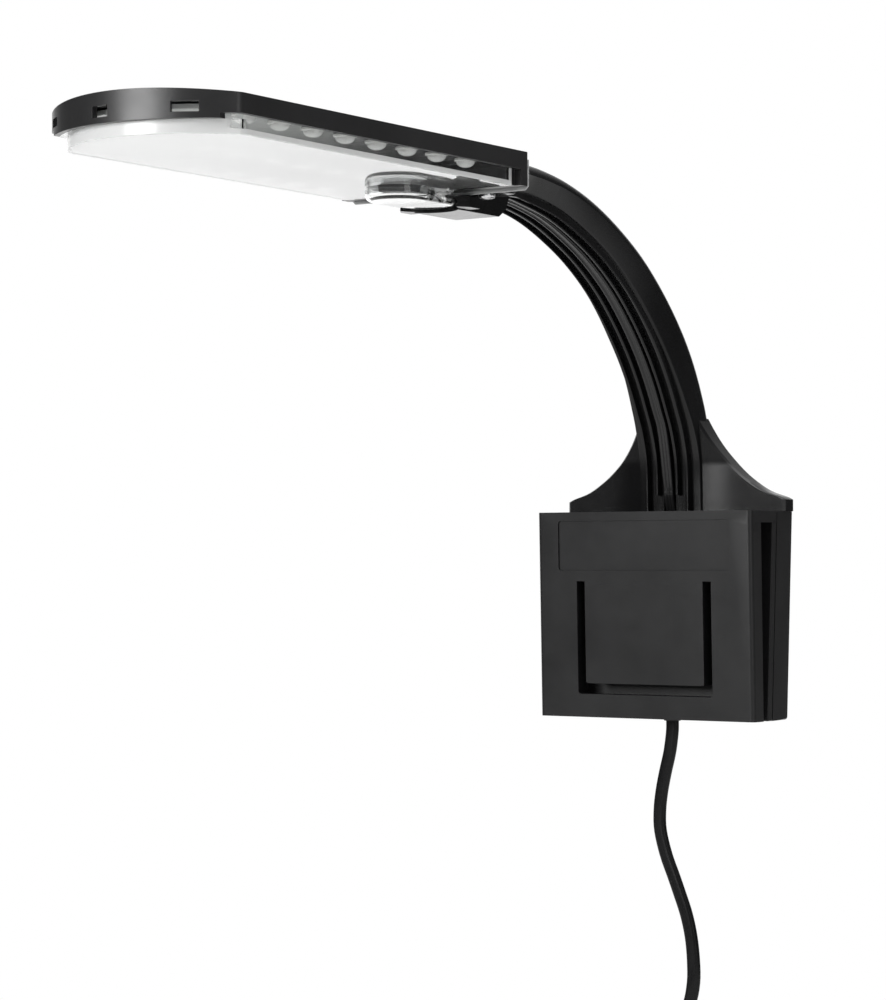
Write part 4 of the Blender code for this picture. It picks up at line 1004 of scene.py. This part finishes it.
def arm():
    root = lean(box(*ARM_ROOT), HOUSING_FRONT, HOUSING_BACK)
    pad = slab("YZ", PAD_PROFILE, -PAD_HALF_WIDTH, PAD_HALF_WIDTH)
    collar = slab("XY", COLLAR_PLAN, *COLLAR_HEIGHTS)
    body = join(arm_loft(), fish_tail(), root, join(pad, collar))
    notch = slab("XY", capsule_outline(BOSS_RADIUS + 0.3, BOSS_FRONT_CENTRE, BOSS_REAR_CENTRE),
                 COLLAR_HEIGHTS[0] - 2, BOSS_TOP + 0.3)
    lead_slot = slab("YZ", LEAD_SLOT, *span(LEAD_CHANNEL))
    lead_exit = slab("YZ", LEAD_EXIT, *span(LEAD_EXIT_HALF_WIDTH))
    holes = [rod("Z", place, SCREW_BORE, 88.0, SOCKET[2][0] + 1, 24) for place in HEAD_SCREWS]
    holes += [rod("Y", place, SCREW_BORE, 8.0, 15.0, 24) for place in ARM_SCREWS]
    for inner, outer in ((INNER_RIB[1] - 0.2, INNER_RIB[0] + 0.2),
                         (-INNER_RIB[0] - 0.2, -INNER_RIB[1] + 0.2)):
        holes.append(box((inner, outer), (4.0, 7.5), (FOOT_BOTTOM - 1, INNER_RIB_FOOT)))
    body = cut(body, notch, box(*SOCKET), lead_slot, lead_exit, *holes)
    show("arm_moulding", body, "arm_plastic", "arm_body", edge=0.22, smooth=30)


LEAD_TOP = ((-129.6, 96.2), (-120.0, 96.2), (-110.0, 96.2), (-102.0, 96.0), (-96.0, 94.9))
LEAD_BOTTOM = ((6.3, 13.2), (6.7, 9.6), (7.5, 6.6), (8.6, 3.0), (8.9, -1.5), (8.6, -8.0))
LEAD_DEPTH = 1.0
LEAD_CORE_RADIUS = 0.7
LEAD_CORE_SPACING = 2.1


def lead():
    """Flat twin lead in the arm's middle channel: two round cores joined by a web."""
    middle = []
    for back, under in list(zip(ARM_BACK, ARM_UNDER))[2:-2]:
        back = Vector(back)
        under = Vector(under)
        middle.append(under + (back - under).normalized() * LEAD_DEPTH)
    flat = smooth_path([*LEAD_BOTTOM[::-1], *middle, *LEAD_TOP[::-1]], 6)
    path = [Vector((0.0, p[0], p[1])) * MM for p in flat]
    right = arc((LEAD_CORE_SPACING / 2, 0.0), LEAD_CORE_RADIUS, -155, 155, 14)
    section = [(x * MM, z * MM) for x, z in right + [(-x, -z) for x, z in right]]
    mesh = sweep(path, section, (1.0, 0.0, 0.0), lambda distance: math.radians(90))
    show("arm_twin_lead", mesh, "lead_jacket", "arm_lead", smooth=50)


# ---------------------------------------------------------------- lamp head

HEAD_HALF_WIDTH = 30.1
HEAD_REAR = -119.2
HEAD_CREASE = -243.4
NOSE_RADIUS = 41.6
HEAD_TOP = 99.15
HEAD_CROWN = 1.5
CROWN_STRIPS = 24
HEAD_BOTTOM = 89.9
HEAD_EDGE = 1.4
REAR_CORNER = 0.9
CREASE_ROUND = 1.0
WALL = 1.6
CAVITY_TOP = 97.5
CAVITY_REAR = -124.2
SIDE_WALL_BOTTOM = 94.3
SIDE_WALL_REAR = -123.0
NOSE_WALL_BOTTOM = 93.0
NOSE_STEP = 26.2
BEYOND_NOSE = -280.0
TAIL = ((-13.0, 13.0), (HEAD_REAR - 1.5, -101.0), (92.0, 98.3))     # fits the arm's socket
LEAD_PASSAGE = (span(LEAD_CHANNEL), (CAVITY_REAR - 1, -100.0), (95.1, 97.3))
NOSE_CENTRE = HEAD_CREASE + math.sqrt(NOSE_RADIUS ** 2 - HEAD_HALF_WIDTH ** 2)
VENTS = ((-37.5, 8.0, 95.0, 97.3), (-4.6, 7.0, 94.5, 97.3),
         (27.5, 9.5, 94.5, 97.1))    # angle and width in degrees, lower and upper edge


def nose_outline(half_width, rear, crease, radius, corner=0.0, steps=48):
    """Straight sides, a round nose towards -Y and small rounded corners at the rear."""
    centre_y = crease + math.sqrt(radius ** 2 - half_width ** 2)
    half_angle = math.degrees(math.asin(half_width / radius))
    points = arc((0.0, centre_y), radius, 270 - half_angle, 270 + half_angle, steps)
    if corner:
        points += arc((half_width - corner, rear - corner), corner, 0, 90, 8)
        points += arc((-half_width + corner, rear - corner), corner, 90, 180, 8)
    else:
        points += [(half_width, rear), (-half_width, rear)]
    return points


def inside_nose(half_width, rear, inset):
    """Outline whose round nose has the same centre as the housing's, a little further in."""
    radius = NOSE_RADIUS - inset
    crease = NOSE_CENTRE - math.sqrt(radius ** 2 - half_width ** 2)
    return nose_outline(half_width, rear, crease, radius)


def vent_cutter(angle, width, low, high):
    """Short slot through the nose wall at an angle from straight ahead."""
    inner = NOSE_RADIUS - WALL - 1.5
    outer = NOSE_RADIUS + 1.5
    start = 270 + angle - width / 2
    points = [*arc((0.0, NOSE_CENTRE), inner, start, start + width, 4),
              *reversed(arc((0.0, NOSE_CENTRE), outer, start, start + width, 4))]
    return slab("XY", points, low, high)


def crowned_block():
    """Block with a gently arched roof, longer and a little wider than the lamp."""
    roof = []
    for step in range(CROWN_STRIPS + 1):
        share = 1 - 2 * step / CROWN_STRIPS
        roof.append((share * (HEAD_HALF_WIDTH + 1), HEAD_TOP + HEAD_CROWN * (1 - share ** 2)))
    outline = [(-HEAD_HALF_WIDTH - 1, HEAD_BOTTOM), (HEAD_HALF_WIDTH + 1, HEAD_BOTTOM), *roof]
    return slab("XZ", outline, BEYOND_NOSE, -100.0)


def head_shell():
    outer = nose_outline(HEAD_HALF_WIDTH, HEAD_REAR, HEAD_CREASE, NOSE_RADIUS, REAR_CORNER)
    shell = slab("XY", outer, HEAD_BOTTOM, HEAD_TOP + HEAD_CROWN + 1.0)
    shell = combine(shell, [crowned_block()], "INTERSECT")
    shell = round_edges(shell, lambda v: abs(v.y - HEAD_CREASE) < 0.01, CREASE_ROUND, 4)
    shell = round_edges(shell, lambda v: v.z > HEAD_TOP - 0.01, HEAD_EDGE, 6)
    inner_half = HEAD_HALF_WIDTH - WALL
    low = HEAD_BOTTOM - 2
    beyond = HEAD_HALF_WIDTH + 2
    cuts = [slab("XY", inside_nose(inner_half, CAVITY_REAR, WALL), low, CAVITY_TOP),
            box(span(NOSE_STEP + 1), (BEYOND_NOSE, HEAD_CREASE), (low, NOSE_WALL_BOTTOM))]
    for near, y_range in ((inner_half - 0.5, (HEAD_CREASE, SIDE_WALL_REAR)),
                          (NOSE_STEP, (BEYOND_NOSE, HEAD_CREASE + 1))):
        for x_range in ((-beyond, -near), (near, beyond)):
            cuts.append(box(x_range, y_range, (low, SIDE_WALL_BOTTOM)))
    shell = cut(shell, *cuts, *[vent_cutter(*vent) for vent in VENTS])
    holes = [rod("Z", place, SCREW_BORE, 91.0, 96.3, 24) for place in HEAD_SCREWS]
    shell = cut(join(shell, box(*TAIL)), box(*LEAD_PASSAGE), *holes)
    show("lamp_shell", shell, "head_plastic", "head_shell", edge=0.22, smooth=30)


COVER_HALF_WIDTH = 28.1
COVER_REAR = -124.6
COVER_CREASE = -239.5
COVER_APEX = -254.3
COVER_TOP = 95.0
COVER_BOTTOM = 89.7
COVER_WALL = 1.4
COVER_EDGE = 0.4
COVER_CREASE_ROUND = 2.5
COVER_FLOOR = COVER_BOTTOM + COVER_WALL
FROST_NOSE = -241.5            # the nose wall beyond this is frosted
FROST_SIDE = 26.0
FLANGE_HALF_WIDTH = 28.0
FLANGE_REAR = -238.0
FLANGE_LOW = 93.35
FLANGE_HIGH = 94.45
BOSS_BOTTOM = 86.0
BOSS_EDGE = 1.9
CUP_RADIUS = 8.3
CUP_BOTTOM = 87.2
CUP_ROUND = 0.9
SAGITTA = COVER_CREASE - COVER_APEX
COVER_RADIUS = (COVER_HALF_WIDTH ** 2 + SAGITTA ** 2) / (2 * SAGITTA)


def clear_cover():
    """Clear tray under the LEDs with its flange and the capsule-shaped boss."""
    tray = slab("XY", nose_outline(COVER_HALF_WIDTH, COVER_REAR, COVER_CREASE, COVER_RADIUS),
                COVER_BOTTOM, COVER_TOP)
    tray = round_edges(tray, lambda v: abs(v.y - COVER_CREASE) < 0.01, COVER_CREASE_ROUND, 6)
    tray = round_edges(tray, lambda v: v.z < COVER_BOTTOM + 0.01, COVER_EDGE, 3)
    flange = slab("XY", inside_nose(FLANGE_HALF_WIDTH, FLANGE_REAR, WALL + 0.3),
                  FLANGE_LOW, FLANGE_HIGH)
    boss = slab("XY", capsule_outline(BOSS_RADIUS, BOSS_FRONT_CENTRE, BOSS_REAR_CENTRE),
                BOSS_BOTTOM, BOSS_TOP)
    boss = round_edges(boss, lambda v: v.z < BOSS_BOTTOM + 0.01, BOSS_EDGE, 6)
    neck_radius = BOSS_RADIUS - 0.4
    neck_rear = COVER_REAR - 0.3
    neck = slab("XY", [*arc((0.0, BOSS_FRONT_CENTRE), neck_radius, 180, 360, 24),
                       (neck_radius, neck_rear), (-neck_radius, neck_rear)],
                BOSS_TOP - 0.6, COVER_BOTTOM + COVER_EDGE + 0.1)
    solid = join(tray, flange, boss, neck)
    inner = nose_outline(COVER_HALF_WIDTH - COVER_WALL, COVER_REAR - COVER_WALL,
                         COVER_CREASE, COVER_RADIUS - COVER_WALL)
    hollow = slab("XY", inner, COVER_FLOOR, COVER_TOP + 1)
    cup = [(CUP_RADIUS - CUP_ROUND + u, CUP_BOTTOM + CUP_ROUND + v)
           for u, v in arc((0.0, 0.0), CUP_ROUND, 0, -90, 8)]
    cup = turned([(0.0, COVER_TOP), (CUP_RADIUS, COVER_TOP), *cup, (0.0, CUP_BOTTOM)], 64)
    cover = cut(solid, hollow, moved(cup, 0.0, BOSS_FRONT_CENTRE, 0.0))
    sliced(cover, [COVER_FLOOR])
    sliced(cover, [COVER_REAR - COVER_WALL, FROST_NOSE], (0, 1, 0))
    show("clear_tray", cover, "clear", "clear_cover", edge=0.15, segments=2)
    cover.materials.append(MATERIALS["frosted"])
    cover.materials.append(MATERIALS["satin"])
    for face in cover.polygons:
        place = face.center / MM
        if is_inner_floor(place, face.normal):
            face.material_index = 2
        elif is_frosted(place, face.normal):
            face.material_index = 1


def is_inner_floor(place, normal):
    """The upper face of the tray's bottom, which has a satin finish."""
    return normal.z > 0.9 and abs(place.z - COVER_FLOOR) < 0.05


def is_frosted(place, normal):
    """The edges of the bottom and rear walls, and the nose wall."""
    if place.z < COVER_BOTTOM - 0.05 or abs(normal.z) > 0.9:
        return False
    if abs(normal.z) > 0.25:
        return place.z < COVER_BOTTOM + COVER_EDGE
    in_bottom = place.z < COVER_FLOOR + 0.05
    rear_edge = abs(normal.x) > 0.9 and place.y > COVER_REAR - COVER_WALL
    nose = place.y < FROST_NOSE and abs(place.x) < FROST_SIDE
    return in_bottom or rear_edge or nose


SEAL_THICKNESS = 0.7
SEAL_INSET = 0.5
SEAL_WINDOW = 13.7             # half the width of the opening round the lamp's tail
SEAL_WINDOW_BOTTOM = 91.4


# The seal is a real part. Its thin pale grey line at the rear joint also stands in for the
# highlight on the shell's rear edge: painted highlight.
def rear_seal():
    low, high = node_box("rear_seal")
    side = high.x - SEAL_INSET
    right = [(side - 1, low.z), (side, low.z + 1), (side, high.z), (SEAL_WINDOW, high.z),
             (SEAL_WINDOW, SEAL_WINDOW_BOTTOM)]
    show("joint_seal", slab("XZ", mirrored(right), low.y, low.y + SEAL_THICKNESS), "silicone",
         "rear_seal", edge=0.2)


# ---------------------------------------------------------------- light board and driver

BOARD_HALF_WIDTH = 26.2
BOARD_CREASE = -239.0
BOARD_NOSE_RADIUS = 32.9
LED_RADIUS = 2.5
LED_COLLAR = ((0.0, 0.0), (3.0, 0.0), (3.1, -0.1), (3.1, -0.6), (2.95, -0.75), (2.55, -0.8))
LED_COUNT = 24


def led_mesh():
    """5 mm LED, dome down: collar, short barrel and round nose."""
    nose = [(LED_RADIUS * math.cos(math.radians(9 * step)),
             -0.9 - 1.5 * math.sin(math.radians(9 * step))) for step in range(10)]
    return turned([*LED_COLLAR, *nose, (0.0, -2.4)], 40)


def light_board():
    low, high = node_box("led_board")
    outline = nose_outline(BOARD_HALF_WIDTH, high.y, BOARD_CREASE, BOARD_NOSE_RADIUS)
    show("light_board", slab("XY", outline, low.z, high.z), "board", "led_board", edge=0.1)
    lens = led_mesh()
    for number in range(1, LED_COUNT + 1):
        low, high = node_box(f"led_{number:02d}")
        piece = show(f"lens_{number:02d}", lens.copy(), "lens", f"led_{number:02d}", body=None,
                     smooth=40)
        piece.location = Vector(((low.x + high.x) / 2, (low.y + high.y) / 2, high.z)) * MM
        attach(piece, "lamp")


KEPT_NODES = {
    "component": ("bridge_rectifier", "driver_chip", "smoothing_capacitor", "splice_live",
                  "splice_neutral"),
    "cord_jacket": ("cord_inner", "cord_grommet"),
    "clip_plastic": ("cord_clamp",),
}


def keep_cad_nodes():
    """Inner pieces whose plain shapes are right keep their CAD solids."""
    for finish, nodes in KEPT_NODES.items():
        for node in nodes:
            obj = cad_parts[node]
            obj.data.materials.clear()
            obj.data.materials.append(MATERIALS[finish])
            obj.modifiers.new("weld", "WELD").merge_threshold = WELD * 5
            round_off(obj, 0.2, 2, 40)


# ---------------------------------------------------------------- stage and light

FLOOR_HEIGHT = -0.300
FLOOR_RADIUS = 0.98


def make_floor():
    work = bmesh.new()
    bmesh.ops.create_circle(work, cap_ends=True, segments=96, radius=FLOOR_RADIUS)
    floor = new_object("floor", to_mesh(work))
    floor.location = (0.0, -0.05, FLOOR_HEIGHT)
    floor.data.materials.append(MATERIALS["floor"])


BACKDROP = (-0.57, 0.81, -0.14)         # direction of the brightest part of the surround
BACKDROP_LIGHT = 1.5
HORIZON_LIGHT = 0.10
WHITE = (1.0, 1.0, 1.0, 1.0)
SKY_RAMP = ((0.0, 1.0), (0.38, 1.0), (0.45, HORIZON_LIGHT), (0.68, HORIZON_LIGHT),
            (0.84, 1.0), (1.0, 1.0))


def make_world():
    """Plain white for the camera. For the object, white above and below, a dim band at the
    sides that reaches a little below the horizon, and a bright backdrop in one direction."""
    world = bpy.data.worlds.new("studio")
    bpy.context.scene.world = world
    world.use_nodes = True
    tree = world.node_tree
    tree.nodes.clear()
    direction = add_node(tree, "TexCoord").outputs["Generated"]
    parts = add_node(tree, "SeparateXYZ", sources={"Vector": direction})
    height = spread(tree, parts.outputs["Z"], 0.0, 1.0, -1.0, 1.0)
    sky = colour_ramp(tree, height, [(place, (level,) * 3) for place, level in SKY_RAMP])
    towards = add_node(tree, "VectorMath", {1: BACKDROP}, {0: direction})
    towards.operation = "DOT_PRODUCT"
    backdrop = spread(tree, towards.outputs["Value"], 0.0, BACKDROP_LIGHT, 0.72, 0.96)
    brighter = add_node(tree, "Math", sources={0: sky, 1: backdrop})
    brighter.operation = "MAXIMUM"
    lit = add_node(tree, "Background", {"Color": WHITE}, {"Strength": brighter.outputs["Value"]})
    seen = add_node(tree, "Background", {"Color": WHITE, "Strength": 1.0})
    path = add_node(tree, "LightPath")
    mix = add_node(tree, "MixShader", sources={"Fac": path.outputs["Is Camera Ray"],
                                               1: lit.outputs["Background"],
                                               2: seen.outputs["Background"]})
    output = tree.nodes.new("ShaderNodeOutputWorld")
    feed(tree, output, {"Surface": mix.outputs["Shader"]})


def area_light(name, place, target, size, power):
    data = bpy.data.lights.new(name, "AREA")
    data.shape = "RECTANGLE"
    data.size, data.size_y = size
    data.energy = power
    light = new_object(name, data)
    light.location = place
    direction = Vector(target) - Vector(place)
    light.rotation_euler = direction.to_track_quat("-Z", "Y").to_euler()


LIGHTS = (
    ("key_softbox", (-0.33, -1.42, 0.34), (0.0, -0.20, 0.09), (0.60, 0.50), 12.0),
    ("side_softbox", (1.20, -0.75, 0.10), (0.0, -0.18, 0.09), (0.5, 0.5), 1.8),
    ("top_softbox", (0.10, 0.10, 1.10), (0.0, -0.08, 0.05), (0.9, 0.9), 9.0),
)


def make_stage():
    make_floor()
    make_world()
    for light in LIGHTS:
        area_light(*light)
    bpy.context.scene.view_settings.view_transform = "Standard"
    bpy.context.scene.view_settings.look = "None"


# ---------------------------------------------------------------- all of it

make_camera()
make_cord()
clip_front()
tongue()
rear_wall()
rear_housing()
screws()
arm()
lead()
head_shell()
clear_cover()
rear_seal()
light_board()
keep_cad_nodes()
make_stage()

bpy.context.view_layer.update()
